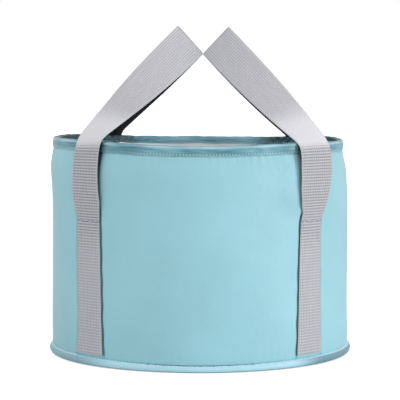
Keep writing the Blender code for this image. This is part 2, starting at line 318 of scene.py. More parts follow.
class WallSettings(bpy.types.PropertyGroup):
    radius: length("Radius", "Outer radius of the wall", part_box("outer_wall")[1][0])
    bottom: length("Bottom", "Height of the wall's lower edge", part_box("outer_wall")[0][2] + 0.0001)
    top: length("Top", "Height of the wall's upper edge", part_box("outer_wall")[1][2])
    shoulder: length("Shoulder", "Height at which the wall starts to lean in", 0.180)
    draw_in: length("Draw-in", "How far the rim leans in", 0.0044)
    rim_pinch: length("Rim pinch", "How much thinner the foam is at the rim", 0.0020)
    tuck: length("Tuck", "How far the lower edge turns in above the piping", 0.0007)
    undulation: length("Undulation", "Height of the wall's soft waves", 0.0005)
    pucker: length("Puckers", "Height of the small puckers beside the seams", 0.00020)
    sag: length("Sag", "How far the lower edge hangs down at the front", 0.0021)
    sway: length("Sway", "How far the rim leans to the left", 0.0020)
    weave: length("Weave", "Distance between the threads of the fabric", 0.0006)
    colour: colour("Fabric", "Colour of the wall's fabric", 156, 211, 223)
    # Colour of the painted shade: along the straps, behind the free straps and under the hem
    painted_shade_colour: colour("Fabric in the creases", "Colour deep in the creases", 24, 62, 72)


class LinerSettings(bpy.types.PropertyGroup):
    wrinkle: length("Wrinkles", "Height of the liner's soft wrinkles", 0.0005)
    roll: length("Roll", "How far the liner rolls inwards below the binding", 0.0020)
    corner: length("Corner", "Radius of the bend from floor to wall", 0.0045)
    colour: colour("Liner", "Colour of the coated liner", 238, 244, 247)
    tape_colour: colour("Seam tape", "Colour of the tape over the liner's seam", 222, 232, 238)


class RimSettings(bpy.types.PropertyGroup):
    hem: length("Hem", "Height of the binding's outer hem", 0.2021)
    inner_hem: length("Inner hem", "Height of the binding's inner hem", 0.2041)
    crown: length("Crown", "How high the binding arches over the wall's edge", 0.0020)
    thickness: length("Thickness", "Thickness of the satin", 0.0008)
    pucker: length("Puckers", "Height of the gathered puckers", 0.00022)
    stitch_pitch: length("Stitch pitch", "Distance from stitch to stitch", 0.0032)
    # The satin's streaks mix these two colours: painted sheen and painted shade
    colour: colour("Satin", "Colour of the satin where it shines", 130, 187, 202)
    painted_shade_colour: colour("Satin in the folds", "Colour of the satin in its folds", 73, 130, 147)
    # Painted highlight where the satin folds over the edge, at its hems and paler inside
    painted_highlight_colour: colour("Satin on the fold", "Colour where the satin folds over the edge", 188, 222, 230)
    # The needle holes, and the painted shade beside the straps and inside at the sides, share this colour
    hole_and_shade_colour: colour("Needle holes", "Colour of the needle holes and deep folds", 18, 52, 62)
    thread_colour: colour("Rim thread", "Colour of the rim's thread", 168, 210, 219)


class PipingSettings(bpy.types.PropertyGroup):
    centre: length("Centre", "Distance of the piping's middle from the axis", 0.1485)
    height: length("Height", "Height of the piping's middle", 0.0048)
    radius: length("Radius", "Radius of the piping", 0.0046)
    slimming: length("Slimming", "How much slimmer the piping is at the front", 0.0015)
    thickness: length("Tape", "Thickness of the tape", 0.0005)
    opening: angle_of("Opening", "Angle left open towards the seam", 40)
    stitch_angle: angle_of("Stitch angle", "Where the stitches lie on the piping", 56)
    stitch_pitch: length("Stitch pitch", "Distance from stitch to stitch", 0.0036)
    pucker: length("Puckers", "Height of the tape's puckers", 0.00013)
    left_shade: number("Left shade", "How dark the tape is at the left", 0.44)
    right_shade: number("Right shade", "How dark the tape is at the right", 0.68)
    colour: colour("Tape", "Colour of the tape", 186, 232, 246)
    painted_shade_colour: colour("Tape in shade", "Colour of the tape where it turns away", 34, 92, 116)
    thread_colour: colour("Piping thread", "Colour of the piping's thread", 242, 250, 252)


class StrapSettings(bpy.types.PropertyGroup):
    width: length("Width", "Width of the webbing", 0.038)
    thickness: length("Thickness", "Thickness of the webbing", 0.0016)
    azimuth: angle_of("Azimuth", "Angle from the front or back to each strap", 45)
    sewn_radius: length("Sewn radius", "Distance of the sewn webbing's middle from the axis", 0.1511)
    foot: length("Foot", "Height of the straps' lower ends", 0.0116)
    tack: length("Tack", "Height of the tack stitches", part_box("front_left_tack")[1][2])
    left_shade: length("Left shade", "How far under the free left strap its shade starts", 0.0052)
    right_shade: length("Right shade", "How far under the free right strap its shade starts", 0.0098)
    swell: length("Swell", "How far the wall swells beside a strap", 0.0013)
    groove: length("Groove", "Depth of the groove along a strap's edges", 0.0016)
    dent: length("Dent", "How far the rim draws in beside a strap", 0.0024)
    left_bulge: length("Left bulge", "How far the wall bulges out beside a free left strap", 0.0018)
    right_bulge: length("Right bulge", "How far the wall bulges out beside a free right strap", 0.0046)
    raggedness: length("Raggedness", "How far a sewn strap's edges waver", 0.00035)
    hollow: length("Hollow", "How far the wall draws back behind a free strap", 0.0012)
    rib_pitch: length("Rib pitch", "Distance from rib to rib", 0.00275)
    rib_depth: length("Rib depth", "Height of a rib", 0.00014)
    line_pitch: length("Line pitch", "Distance between the lines along the webbing", 0.0024)
    colour: colour("Webbing", "Colour of the webbing", 190, 190, 196)
    # Painted light: the webbing is paler where it bends over the rim
    painted_bend_light_colour: colour("Smooth webbing", "Colour where the webbing bends over the rim", 232, 232, 237)
    inner_colour: colour("Inner face", "Colour of the webbing's inner face", 34, 34, 38)
    edge_colour: colour("Selvedge", "Colour of the webbing's edges", 198, 202, 202)
    tack_colour: colour("Tack thread", "Colour of the tack stitches", 226, 226, 226)


class HandleSettings(bpy.types.PropertyGroup):
    bow: length("Bow", "How far the strap bows off the wall between tack and rim", 0.0046)
    rim_radius: length("Rim radius", "Distance of the strap's middle from the axis at the rim", 0.1515)
    bend_height: length("Bend height", "Height at which the strap bends over the rim", 0.2175)
    twist: number("Twist", "Less than 1 turns the webbing sooner", 0.95)
    turn: angle_of("Turn", "How far the strap turns its face sideways at the rim", 5)
    rear_turn: angle_of("Rear turn", "How far the rear half moves round to the middle at the rim", 4)
    peak_side: length("Peak side", "Distance of the peak's middle from the middle plane", 0.0099)
    peak_height: length("Peak height", "Height of the peak's middle", 0.3152)
    peak_tilt: angle_of("Peak tilt", "How steeply the webbing stands at the peak", 47.8)


class StageSettings(bpy.types.PropertyGroup):
    distance: length("Camera distance", "Distance of the camera from the axis", 1.8)
    height: length("Camera height", "Height of the camera", 0.275)
    tilt: angle_of("Camera tilt", "How far the camera looks down", 3.88)
    lens: number("Lens", "Focal length in millimetres", 159.4)
    ambient: number("Ambient", "Light from all round", 0.71)
    floor_lift: number("Floor lift", "How much paler the floor looks", 0.60)
    floor_colour: colour("Floor", "Colour of the floor", 238, 238, 238)


class WashbasinSettings(bpy.types.PropertyGroup):
    wall: PointerProperty(type=WallSettings)
    liner: PointerProperty(type=LinerSettings)
    rim: PointerProperty(type=RimSettings)
    piping: PointerProperty(type=PipingSettings)
    straps: PointerProperty(type=StrapSettings)
    left: PointerProperty(type=HandleSettings)
    right: PointerProperty(type=HandleSettings)
    stage: PointerProperty(type=StageSettings)


def ease(share):
    """0 to 1 with a level start and end."""
    share = np.clip(share, 0, 1)
    return share * share * (3 - 2 * share)


def bell(offset, width):
    """1 at no offset, falling off on both sides like a bell."""
    return np.exp(-((offset / width) ** 2))


def unit(vectors):
    return vectors / np.linalg.norm(vectors, axis=-1, keepdims=True)


def around(radius, angle, height):
    """Points at a radius, at an angle from the front towards the right, and at a height."""
    parts = np.broadcast_arrays(radius * np.sin(angle), -radius * np.cos(angle), height)
    return np.stack(parts, axis=-1)


def wrinkles(angle, along, kind):
    """Wrinkles that meet themselves round the basin.

    A sum of cosines, each with a whole number of waves round the basin between fewest and most, and up to
    slope waves for each unit along the other way, at a random phase. That unit is a metre, or for a tape
    the whole way over it or a radian of its section.
    """
    fewest, most, slope, count, seed = kind
    chance = np.random.default_rng(seed)
    total = 0
    for _ in range(count):
        waves = chance.integers(fewest, most + 1)
        lean = chance.uniform(-slope, slope)
        total = total + np.cos(waves * angle + TURN * lean * along + chance.uniform(0, TURN))
    return total / math.sqrt(count / 2)


def path_length(points):
    """Distance along a path at each of its points."""
    steps = np.linalg.norm(np.diff(points, axis=0), axis=1)
    return np.concatenate([[0], np.cumsum(steps)])


def resampled(points, step):
    """The same path with its points evenly spaced."""
    distance = path_length(points)
    places = np.linspace(0, distance[-1], int(round(distance[-1] / step)) + 1)
    return np.stack([np.interp(places, distance, points[:, i]) for i in range(3)], axis=1)


def rounded(points, spread):
    """A path with its corners rounded: each point becomes a mean of its neighbours, weighted by a bell.

    Beyond its ends the path is continued by its own point reflection, so that the ends stay in place.
    """
    reach = 3 * spread
    weights = bell(np.arange(-reach, reach + 1), spread * math.sqrt(2))
    before = 2 * points[0] - points[reach:0:-1]
    after = 2 * points[-1] - points[-2 : -reach - 2 : -1]
    longer = np.concatenate([before, points, after])
    columns = [np.convolve(longer[:, i], weights / weights.sum(), mode="valid") for i in range(3)]
    return np.stack(columns, axis=1)


def even_angles(step):
    """Angles all round the basin, at a step in degrees."""
    return np.radians(np.arange(0, 360, step))


def wall_angles(straps):
    """Angles all round the wall, closer together along the edges of the straps."""
    centre = math.degrees(straps.azimuth)
    fine = []
    for middle in (centre, 180 - centre, 180 + centre, 360 - centre):
        for side in (-1, 1):
            edge = middle + side * STRAP_EDGE_TURN
            fine.append((edge - STRAP_EDGE_REACH, edge + STRAP_EDGE_REACH))
    coarse = np.arange(0, 360, WALL_STEP)
    for low, high in fine:
        coarse = coarse[(coarse < low - WALL_STEP / 2) | (coarse > high + WALL_STEP / 2)]
    close = [np.arange(low, high, STRAP_EDGE_STEP) for low, high in fine]
    return np.radians(np.sort(np.concatenate([coarse, *close])))


def from_front(angle):
    """The same angle, as half a turn or less to either side of the front."""
    return np.arcsin(np.sin(angle / 2)) * 2


def at_front(angle):
    """1 at the front, falling off on both sides."""
    return bell(from_front(angle), FRONT_BREADTH)


def strap_offset(wall, straps, angle):
    """Distance round the wall from the nearest strap's middle, positive towards the sides."""
    from_middle = np.abs(np.arcsin(np.sin(angle)))
    return (from_middle - straps.azimuth) * wall.radius


def strap_halves(height, right):
    """Half widths of a strap on its inner and outer side, for the right straps or the left ones."""
    left_edges = np.array(LEFT_STRAP_EDGES).T
    right_edges = np.array(RIGHT_STRAP_EDGES).T
    halves = []
    for side in (1, 2):
        on_left = np.interp(height, left_edges[0], left_edges[side])
        on_right = np.interp(height, right_edges[0], right_edges[side])
        halves.append(np.where(right, on_right, on_left))
    return halves


def drawn_in(wall, depth, height):
    """How far the rim draws in a layer. The foam is pinched there, so the inner layers move less."""
    pinched = wall.rim_pinch * np.clip((depth - FOAM_OUTSIDE) / (FOAM_INSIDE - FOAM_OUTSIDE), 0, 1)
    return ease((height - wall.shoulder) / (wall.top - wall.shoulder)) * (wall.draw_in - pinched)


def rim_shift(wall, straps, angle, height):
    """How far every layer moves in near the rim: at a strap's inner edge, and at the right side.

    Beside the free straps the wall bulges out towards them, more at the right, where they stand further off.
    """
    from_edge = strap_offset(wall, straps, angle) + straps.width / 2
    dent = straps.dent * bell(from_edge - DENT_INSIDE, DENT_BREADTH) * ease((height - DENT_FROM) / DENT_RISE)
    most = np.where(np.sin(angle) > 0, straps.right_bulge, straps.left_bulge)
    bulge = most * bell(from_edge + BULGE_OUTSIDE, BULGE_BREADTH) * ease((height - straps.tack) / BULGE_LIFT)
    return dent - bulge + wall.sway * np.sin(angle) * ease((height - SWAY_FROM) / SWAY_RISE)


def rim_rise(angle):
    """How far the rim stands above its plain height."""
    return sum(cosine * np.cos(n * angle) + sine * np.sin(n * angle) for n, cosine, sine in RIM_WAVES)


def drawn_up(wall, angle, height):
    """How far the waves of the rim lift a point of the wall."""
    return rim_rise(angle) * ease((height - DRAWN_UP_FROM) / (wall.top - DRAWN_UP_FROM))


def settled(wall, angle, height):
    """Height of a point of the wall, which is drawn up to the rim and hangs down at the front."""
    lower = 1 - ease((height - wall.bottom) / SAG_HEIGHT)
    return height + drawn_up(wall, angle, height) - wall.sag * at_front(angle) * lower


def tucked(wall, height):
    """How far the wall turns in above the piping, as a quarter of a circle that stops just short of level."""
    share = np.clip((height - wall.bottom) / TUCK_HEIGHT, 0, 1)
    return wall.tuck * (1 - np.sqrt(1 - (1 - share) ** 2 * 0.999))


def beside_strap(wall, straps, angle, height):
    """Distance outside the nearest edge of a strap, negative under it."""
    offset = strap_offset(wall, straps, angle)
    inner, outer = strap_halves(height, np.sin(angle) > 0)
    ragged = straps.raggedness * wrinkles(angle, height, RAGGED_EDGE)
    return np.where(offset < 0, -offset - inner, offset - outer) + ragged * (height < straps.tack)


def beside_dip(wall, straps, angle, height):
    """Distance outside the line where the wall dips in at a strap: its edge, or under it where it is free."""
    start = np.where(np.sin(angle) > 0, straps.right_shade, straps.left_shade)
    free = ease((height - straps.tack) / STRAP_LIFT) * (strap_offset(wall, straps, angle) < 0)
    return beside_strap(wall, straps, angle, height) + start * free


def wall_relief(wall, straps, angle, height):
    """How far the outer face stands out of its plain round form.

    Broad waves fade out under the straps. The wall swells beside each strap and dips into a groove at its
    edge. Small puckers run down from the rim's stitches and up from the piping.
    """
    edge = beside_dip(wall, straps, angle, height)
    clear = ease(edge / CALM_BESIDE)
    ends = ease((height - wall.bottom) / CALM_ENDS) * ease((wall.top - height) / CALM_ENDS)
    broad = wrinkles(angle, height, WALL_WAVES) * 0.7 + wrinkles(angle, height, WALL_RIPPLES) * 0.3
    swell = straps.swell * ease(edge / SWELL_RISE) * np.exp(-np.maximum(edge, 0) / SWELL_FALL)
    groove = straps.groove * bell(edge - GROOVE_PLACE, GROOVE_BREADTH) * (height < straps.tack + GROOVE_END)
    behind = ease((height - straps.tack - HOLLOW_START) / BULGE_LIFT) * ease(-edge / HOLLOW_EDGE)
    below_rim = np.exp(-np.maximum(RIM_SEAM - height, 0) / RIM_GATHERS_FADE)
    above_piping = np.exp(-np.maximum(height - wall.bottom, 0) / PIPING_GATHERS_FADE)
    gathers = wrinkles(angle, height, RIM_GATHERS) * below_rim
    gathers = gathers + 0.7 * wrinkles(angle, height, PIPING_GATHERS) * above_piping
    waves = wall.undulation * broad * ends + wall.pucker * gathers
    return waves * clear + swell * ends - groove - straps.hollow * behind


def wall_painted_shade(wall, straps, angle, height):
    """How much shade is painted on the outer face, 0 to 1: along straps, behind them where free, and at the
    rim.

    The line along a strap is darker at its inner edge, and broader there near the rim. It starts at the foot.
    """
    inner = strap_offset(wall, straps, angle) < 0
    edge = beside_dip(wall, straps, angle, height)
    near_rim = ease((height - SPREAD_FROM) / SPREAD_RISE)
    breadth = np.where(inner, LINE_BREADTHS[0] + LINE_SPREAD * near_rim, LINE_BREADTHS[1])
    line = bell(edge + LINE_PLACE, breadth) * np.where(inner, *LINE_STRENGTHS)
    line = line * ease((height - straps.foot + 0.0005) / 0.0015)
    free = ease((height - straps.tack) / STRAP_LIFT) * inner
    behind = BEHIND_STRENGTH * ease(1 - edge / 0.001) * ease((edge + BEHIND_END) / BEHIND_FADE) * free
    at_hem = HEM_STRENGTH * bell(height - HEM_HEIGHT, HEM_BREADTH)
    parts = np.broadcast_arrays(line, behind, at_hem)
    return np.clip(np.max(parts, axis=0), 0, 1)


def rim_painted_shade(wall, straps, angle, share):
    """How much shade is painted on the binding, 0 to 1: outside at a strap's inner edge, and inside at the
    left and right.
    """
    edge = beside_dip(wall, straps, angle, straps.tack + 0.05)
    outside = (strap_offset(wall, straps, angle) < 0) * (share < 0.42)
    beside = BEHIND_STRENGTH * ease(1 - (edge - 0.0008) / 0.0012) * outside
    from_back = np.degrees(np.pi - np.abs(from_front(angle)))
    sides = ease((from_back - DARK_FROM) / DARK_COMES) * ease((DARK_TO - from_back) / DARK_GOES)
    sides = sides * ease((share - 0.45) / 0.06)
    mottled = 0.87 + 0.08 * wrinkles(angle, share, BINDING_MOTTLES)
    return np.clip(np.maximum(beside, sides * mottled), 0, 1)


def build_mesh(name, points, faces, face_uvs):
    """A mesh from arrays: points, faces as (count, corners) arrays, and each face corner's UV in metres.

    The faces are turned round if the volume that they enclose comes out negative.
    """
    volume = 0
    for corners in faces:
        for i in range(1, corners.shape[1] - 1):
            first, second, third = (points[corners[:, k]] for k in (0, i, i + 1))
            volume += np.einsum("ij,ij->", first, np.cross(second, third))
    if volume < 0:
        faces = [corners[:, ::-1] for corners in faces]
        face_uvs = [uvs[:, ::-1] for uvs in face_uvs]
    counts = np.concatenate([np.full(len(corners), corners.shape[1]) for corners in faces])
    starts = np.concatenate([[0], np.cumsum(counts)[:-1]])
    mesh = bpy.data.meshes.new(name)
    mesh.vertices.add(len(points))
    mesh.vertices.foreach_set("co", points.ravel())
    mesh.loops.add(int(counts.sum()))
    mesh.loops.foreach_set("vertex_index", np.concatenate([corners.ravel() for corners in faces]))
    mesh.polygons.add(len(counts))
    mesh.polygons.foreach_set("loop_start", starts)
    mesh.uv_layers.new(name="UVMap").data.foreach_set("uv", np.concatenate([uvs.ravel() for uvs in face_uvs]))
    mesh.update(calc_edges=True)
    mesh.validate()
    mesh.shade_smooth()
    return mesh


def grid_faces(rows, columns, closed_rows):
    """The faces of a grid of points, as point numbers: quads, and a fan for each end if the rows don't close.

    The columns close into rings. The middles of the two fans follow the grid's own points.
    """
    row = np.arange(rows if closed_rows else rows - 1)[:, None]
    column = np.arange(columns)[None, :]
    next_row = (row + 1) % rows
    next_column = (column + 1) % columns
    ring = [row * columns + column, row * columns + next_column]
    next_ring = [next_row * columns + next_column, next_row * columns + column]
    quads = np.stack(ring + next_ring, axis=-1).reshape(-1, 4)
    if closed_rows:
        return [quads]
    step, after = column[0], next_column[0]
    middle = np.full(columns, rows * columns)
    last = (rows - 1) * columns
    first_fan = np.stack([middle, after, step], axis=-1)
    last_fan = np.stack([middle + 1, last + step, last + after], axis=-1)
    return [quads, first_fan, last_fan]


def grid_mesh(name, points, row_metres, column_metres, closed_rows):
    """A closed surface from a grid of points, rows by columns.

    The rows close, or else a fan about its middle closes each end. The UV runs with column_metres across and
    row_metres along, which have one value more than the closed directions.
    """
    rows, columns = points.shape[:2]
    faces = grid_faces(rows, columns, closed_rows)
    shape = (rows if closed_rows else rows - 1, columns)
    row, column = (np.arange(count) for count in shape)
    across = [np.broadcast_to(column_metres[column + k], shape) for k in (0, 1, 1, 0)]
    along = [np.broadcast_to(row_metres[row + k][:, None], shape) for k in (0, 0, 1, 1)]
    uvs = [np.stack([np.stack(across, axis=-1), np.stack(along, axis=-1)], axis=-1).reshape(-1, 4, 2)]
    flat = points.reshape(-1, 3)
    if not closed_rows:
        flat = np.concatenate([flat, points[[0, -1]].mean(axis=1)])
        fan_across = np.stack([column_metres[:-1]] * 3, axis=-1)
        uvs += [np.stack([fan_across, np.full_like(fan_across, end)], axis=-1) for end in row_metres[[0, -1]]]
    return build_mesh(name, flat, faces, uvs)


def mark(mesh, name, values):
    """Stores a value for each point of a grid mesh. The middles of its end fans get nought."""
    stored = np.zeros(len(mesh.vertices), np.float32)
    stored[: values.size] = values.ravel()
    mesh.attributes.new(name, "FLOAT", "POINT").data.foreach_set("value", stored)


def stitch_mesh(name, centres, along, outward, size):
    """Plump stitches, each a bead whose section is an ellipse that narrows to its ends and dips there.

    centres, along and outward have one row for each stitch, and size is its length, width and height.
    """
    along = unit(along)
    side = unit(np.cross(along, outward))
    outward = np.cross(side, along)
    station = np.array(BEAD_RINGS)[:, None]
    turn = np.linspace(0, TURN, BEAD_CORNERS, endpoint=False)
    girth = np.sqrt(1 - station**2)
    dip = BEAD_DIP * station**4
    rings = np.broadcast_arrays(station, girth * np.cos(turn), girth * np.sin(turn) - dip)
    tips = [[-1, 0, -BEAD_DIP], [1, 0, -BEAD_DIP]]
    bead = np.concatenate([np.stack(rings, axis=-1).reshape(-1, 3), tips]) * np.array(size) / 2
    axes = np.stack([along, side, outward], axis=1)
    points = centres[:, None] + np.einsum("pk,nkc->npc", bead, axes)
    quads, *fans = grid_faces(len(station), len(turn), closed_rows=False)
    shift = (np.arange(len(centres)) * len(bead))[:, None, None]
    faces = [(quads + shift).reshape(-1, 4), (np.concatenate(fans) + shift).reshape(-1, 3)]
    uvs = [np.zeros((*corners.shape, 2)) for corners in faces]
    return build_mesh(name, points.reshape(-1, 3), faces, uvs)


def add_piece(mesh, material, replaced=()):
    """A visible piece at the origin. It takes the place of the CAD nodes that are named."""
    piece = bpy.data.objects.new(mesh.name, mesh)
    mesh.materials.append(material)
    bpy.context.scene.collection.objects.link(piece)
    if replaced:
        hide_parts(*replaced)
    return piece


def fold_down(piece):
    """The strap's leg rides on the base, with its own copy of its mesh."""
    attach(piece, "base")
    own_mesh(piece)


def sink_with_rim(piece):
    """The piece's place is baked into its mesh."""
    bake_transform(piece)


class Shader:
    """A material and short ways to add nodes to it."""

    def __init__(self, name, roughness, specular):
        self.material = bpy.data.materials.new(name)
        self.material.use_nodes = True
        self.tree = self.material.node_tree
        self.surface = self.tree.nodes["Principled BSDF"]
        self.surface.inputs["Roughness"].default_value = roughness
        self.surface.inputs["Specular IOR Level"].default_value = specular

    def put(self, value, socket):
        if isinstance(value, bpy.types.NodeSocket):
            self.tree.links.new(value, socket)
        elif isinstance(value, (int, float)):
            socket.default_value = value
        else:
            socket.default_value = (*value, 1)

    def math(self, operation, first, second=0.0):
        node = self.tree.nodes.new("ShaderNodeMath")
        node.operation = operation
        self.put(first, node.inputs[0])
        self.put(second, node.inputs[1])
        return node.outputs[0]

    def weighed(self, *parts):
        """The sum of values, each times its weight."""
        total = 0.0
        for value, weight in parts:
            total = self.math("ADD", total, self.math("MULTIPLY", value, weight))
        return total

    def between(self, value, low, high, start, end):
        """The value, carried from low..high to start..end and kept inside it."""
        node = self.tree.nodes.new("ShaderNodeMapRange")
        self.put(value, node.inputs["Value"])
        limits = {"From Min": low, "From Max": high, "To Min": start, "To Max": end}
        for socket, limit in limits.items():
            node.inputs[socket].default_value = limit
        return node.outputs["Result"]

    def mix(self, share, first, second):
        node = self.tree.nodes.new("ShaderNodeMixRGB")
        self.put(share, node.inputs["Fac"])
        self.put(first, node.inputs["Color1"])
        self.put(second, node.inputs["Color2"])
        return node.outputs["Color"]

    def uv(self):
        """The piece's own UV, whose unit is a metre."""
        node = self.tree.nodes.new("ShaderNodeUVMap")
        node.uv_map = "UVMap"
        return node.outputs["UV"]

    def metres(self):
        """The places across and along the piece."""
        parts = self.tree.nodes.new("ShaderNodeSeparateXYZ")
        self.put(self.uv(), parts.inputs[0])
        return parts.outputs["X"], parts.outputs["Y"]

    def stretched(self, across, along):
        """The places on the piece, counted in features of that size in metres."""
        mapping = self.tree.nodes.new("ShaderNodeMapping")
        mapping.inputs["Scale"].default_value = (1 / across, 1 / along, 1)
        self.put(self.uv(), mapping.inputs["Vector"])
        return mapping.outputs["Vector"]

    def noise(self, scale, detail, place=None):
        """Soft noise, 0 to 1, in the object's own space or at the places given."""
        if place is None:
            place = self.tree.nodes.new("ShaderNodeTexCoord").outputs["Object"]
        node = self.tree.nodes.new("ShaderNodeTexNoise")
        node.inputs["Scale"].default_value = scale
        node.inputs["Detail"].default_value = detail
        self.put(place, node.inputs["Vector"])
        return node.outputs["Fac"]

    def marked(self, name):
        node = self.tree.nodes.new("ShaderNodeAttribute")
        node.attribute_name = name
        return node.outputs["Fac"]

    def wave(self, metres, pitch):
        """A cosine of that pitch, -1 to 1."""
        return self.math("COSINE", self.math("MULTIPLY", metres, TURN / pitch))

    def finish(self, base, height, depth):
        """Sets the colour, and the relief whose height of 1 stands for depth metres."""
        self.put(base, self.surface.inputs["Base Color"])
        bump = self.tree.nodes.new("ShaderNodeBump")
        bump.inputs["Distance"].default_value = depth
        self.put(height, bump.inputs["Height"])
        self.put(bump.outputs["Normal"], self.surface.inputs["Normal"])
        return self.material


def scaled(shade, factor):
    """A colour made lighter or darker."""
    return [min(1, value * factor) for value in shade]


def wall_fabric(wall, name, fabric, painted_shade_tint):
    """Smooth coated cloth: a fine weave that shows more on soft crinkles, faint clouding, and painted shade
    where marked.
    """
    shader = Shader(name, 0.32, 0.50)
    across, along = shader.metres()
    weave = shader.math("MULTIPLY", shader.wave(across, wall.weave), shader.wave(along, wall.weave))
    clouds = shader.noise(11, 3)
    cloth = shader.mix(shader.between(clouds, 0.3, 0.7, 0, 1), scaled(fabric, 0.94), scaled(fabric, 1.05))
    # Painted shade where the piece marks it
    shaded = shader.mix(shader.marked("painted_shade"), cloth, painted_shade_tint)
    relief = shader.weighed((weave, 0.10), (shader.noise(70, 2), 3.0))
    raised = shader.math("ADD", 1, shader.math("MULTIPLY", weave, 0.02))
    return shader.finish(shaded, shader.math("MULTIPLY", relief, raised), 0.0002)


def satin(rim, pitch):
    """Glossy satin: soft streaks along it of painted shade and sheen, needle holes between its stitches, a
    painted highlight where it folds over the edge, and painted shade where marked.
    """
    shader = Shader("binding_satin", 0.36, 0.45)
    across, along = shader.metres()
    streaks = shader.noise(1, 2, shader.stretched(0.022, 0.0030))
    patches = shader.noise(1, 2, shader.stretched(0.040, 0.016))
    share = shader.weighed((streaks, 0.55), (patches, 0.45))
    # Streaks of painted sheen and painted shade
    base = shader.mix(shader.between(share, 0.36, 0.64, 0, 1), rim.painted_shade_colour, rim.colour)
    from_outer = shader.math("ABSOLUTE", shader.math("SUBTRACT", along, OUTER_ROW_PLACE))
    from_inner = shader.math("ABSOLUTE", shader.math("SUBTRACT", along, INNER_ROW_PLACE))
    from_row = shader.math("MINIMUM", from_outer, from_inner)
    in_row = shader.between(from_row, 0.0004, 0.0009, 1, 0)
    between_stitches = shader.between(shader.wave(across, pitch), -0.9, -0.3, 0.50, 0)
    # Painted highlight, marked as the fold
    base = shader.mix(shader.math("MULTIPLY", shader.marked("fold"), 0.85), base, rim.painted_highlight_colour)
    base = shader.mix(shader.math("MULTIPLY", in_row, between_stitches), base, rim.hole_and_shade_colour)
    # Painted shade beside the straps and inside at the sides, in the needle holes' colour
    base = shader.mix(shader.marked("painted_shade"), base, rim.hole_and_shade_colour)
    return shader.finish(base, streaks, 0.00022)


def coated_liner(name, shade):
    """Silvery coated film with soft creases."""
    shader = Shader(name, 0.34, 0.5)
    shader.surface.inputs["Metallic"].default_value = 0.3
    creases = shader.noise(60, 5)
    base = shader.mix(shader.between(creases, 0.35, 0.65, 0, 1), scaled(shade, 0.95), scaled(shade, 1.03))
    return shader.finish(base, shader.noise(110, 3), 0.0005)


def webbing(straps):
    """Webbing: ribs where sewn, fine lines along it, pale edges, a charcoal inner face, and painted light and
    shade.
    """
    shader = Shader("grey_webbing", 0.8, 0.25)
    across, along = shader.metres()
    ribbed = shader.marked("ribbed")
    ribs = shader.math("MULTIPLY", shader.wave(along, straps.rib_pitch), ribbed)
    faded = shader.between(shader.noise(1, 2, shader.stretched(0.012, 0.045)), 0.35, 0.65, 0.25, 1.0)
    lines = shader.math("MULTIPLY", shader.wave(across, straps.line_pitch), faded)
    fibres = shader.noise(1, 1, shader.stretched(0.0030, 0.0200))
    relief = shader.weighed((ribs, 0.5), (lines, 0.5))
    share = shader.between(shader.weighed((relief, 1), (fibres, 0.4)), -0.5, 0.9, 0, 1)
    # Free loops paler and sewn legs darker with stronger ribs: painted light and shade, and painted shade
    # between the ribs
    free = shader.mix(share, scaled(straps.colour, 0.80), scaled(straps.colour, 1.36))
    sewn = shader.mix(share, scaled(straps.colour, 0.52), scaled(straps.colour, 1.20))
    # Painted light where the webbing bends over the rim
    face = shader.mix(shader.marked("painted_bend_light"), shader.mix(ribbed, free, sewn), straps.painted_bend_light_colour)
    from_edge = shader.math("SUBTRACT", straps.width / 2, shader.math("ABSOLUTE", across))
    face = shader.mix(shader.between(from_edge, 0.0006, 0.0016, 0.6, 0), face, straps.edge_colour)
    face = shader.mix(shader.marked("inner_face"), face, straps.inner_colour)
    # Painted shade at the crest of the handle's peak
    face = shader.mix(shader.marked("painted_crest_shade"), face, scaled(straps.colour, 0.4))
    return shader.finish(face, relief, 0.00008)


def thread(name, shade):
    """Twisted thread: a slight sheen and fibres."""
    shader = Shader(name, 0.55, 0.4)
    fibres = shader.noise(1800, 2)
    return shader.finish(shader.mix(fibres, scaled(shade, 0.85), scaled(shade, 1.08)), fibres, 0.0001)


def profile(*runs):
    """The radii and the heights of a profile, each as a column, from runs of both."""
    pairs = [np.broadcast_arrays(*run) for run in runs]
    return [np.concatenate(values)[:, None] for values in zip(*pairs)]


def ring_metres(angle, radius):
    return np.append(angle, angle[0] + TURN) * radius


def padded_wall(wall, straps):
    """The fabric and foam wall: its outer face up, over its top edge, and its inner face down again."""
    angle = wall_angles(straps)
    finer_below, finer_above = wall.bottom + 0.009, 0.184
    outside = np.concatenate(
        [
            np.linspace(wall.bottom, finer_below, 11)[:-1],
            np.linspace(finer_below, finer_above, 60)[:-1],
            np.linspace(finer_above, wall.top - 0.0004, 18),
        ]
    )
    inside = np.array([0.2088, 0.200, 0.192, 0.186, 0.150, 0.100, 0.050, wall.bottom])
    depth, height = profile((0, outside), (FOAM_INSIDE, inside))
    outer = depth == 0
    radius = wall.radius - depth - drawn_in(wall, depth, height) - rim_shift(wall, straps, angle, height)
    radius = radius + outer * (wall_relief(wall, straps, angle, height) - tucked(wall, height))
    pinched = 0.0004 * ease((height - 0.200) / 0.004)
    points = around(radius - outer * pinched, angle, settled(wall, angle, height))
    closed = np.append(np.arange(len(height)), 0)
    rows = path_length(np.hstack([wall.radius - depth, height])[closed])
    mesh = grid_mesh("padded_wall", points, rows, ring_metres(angle, wall.radius), closed_rows=True)
    # Painted shade on the outer face: along the straps, behind the free straps and under the hem
    mark(mesh, "painted_shade", np.broadcast_to(outer * wall_painted_shade(wall, straps, angle, height), radius.shape))
    return mesh


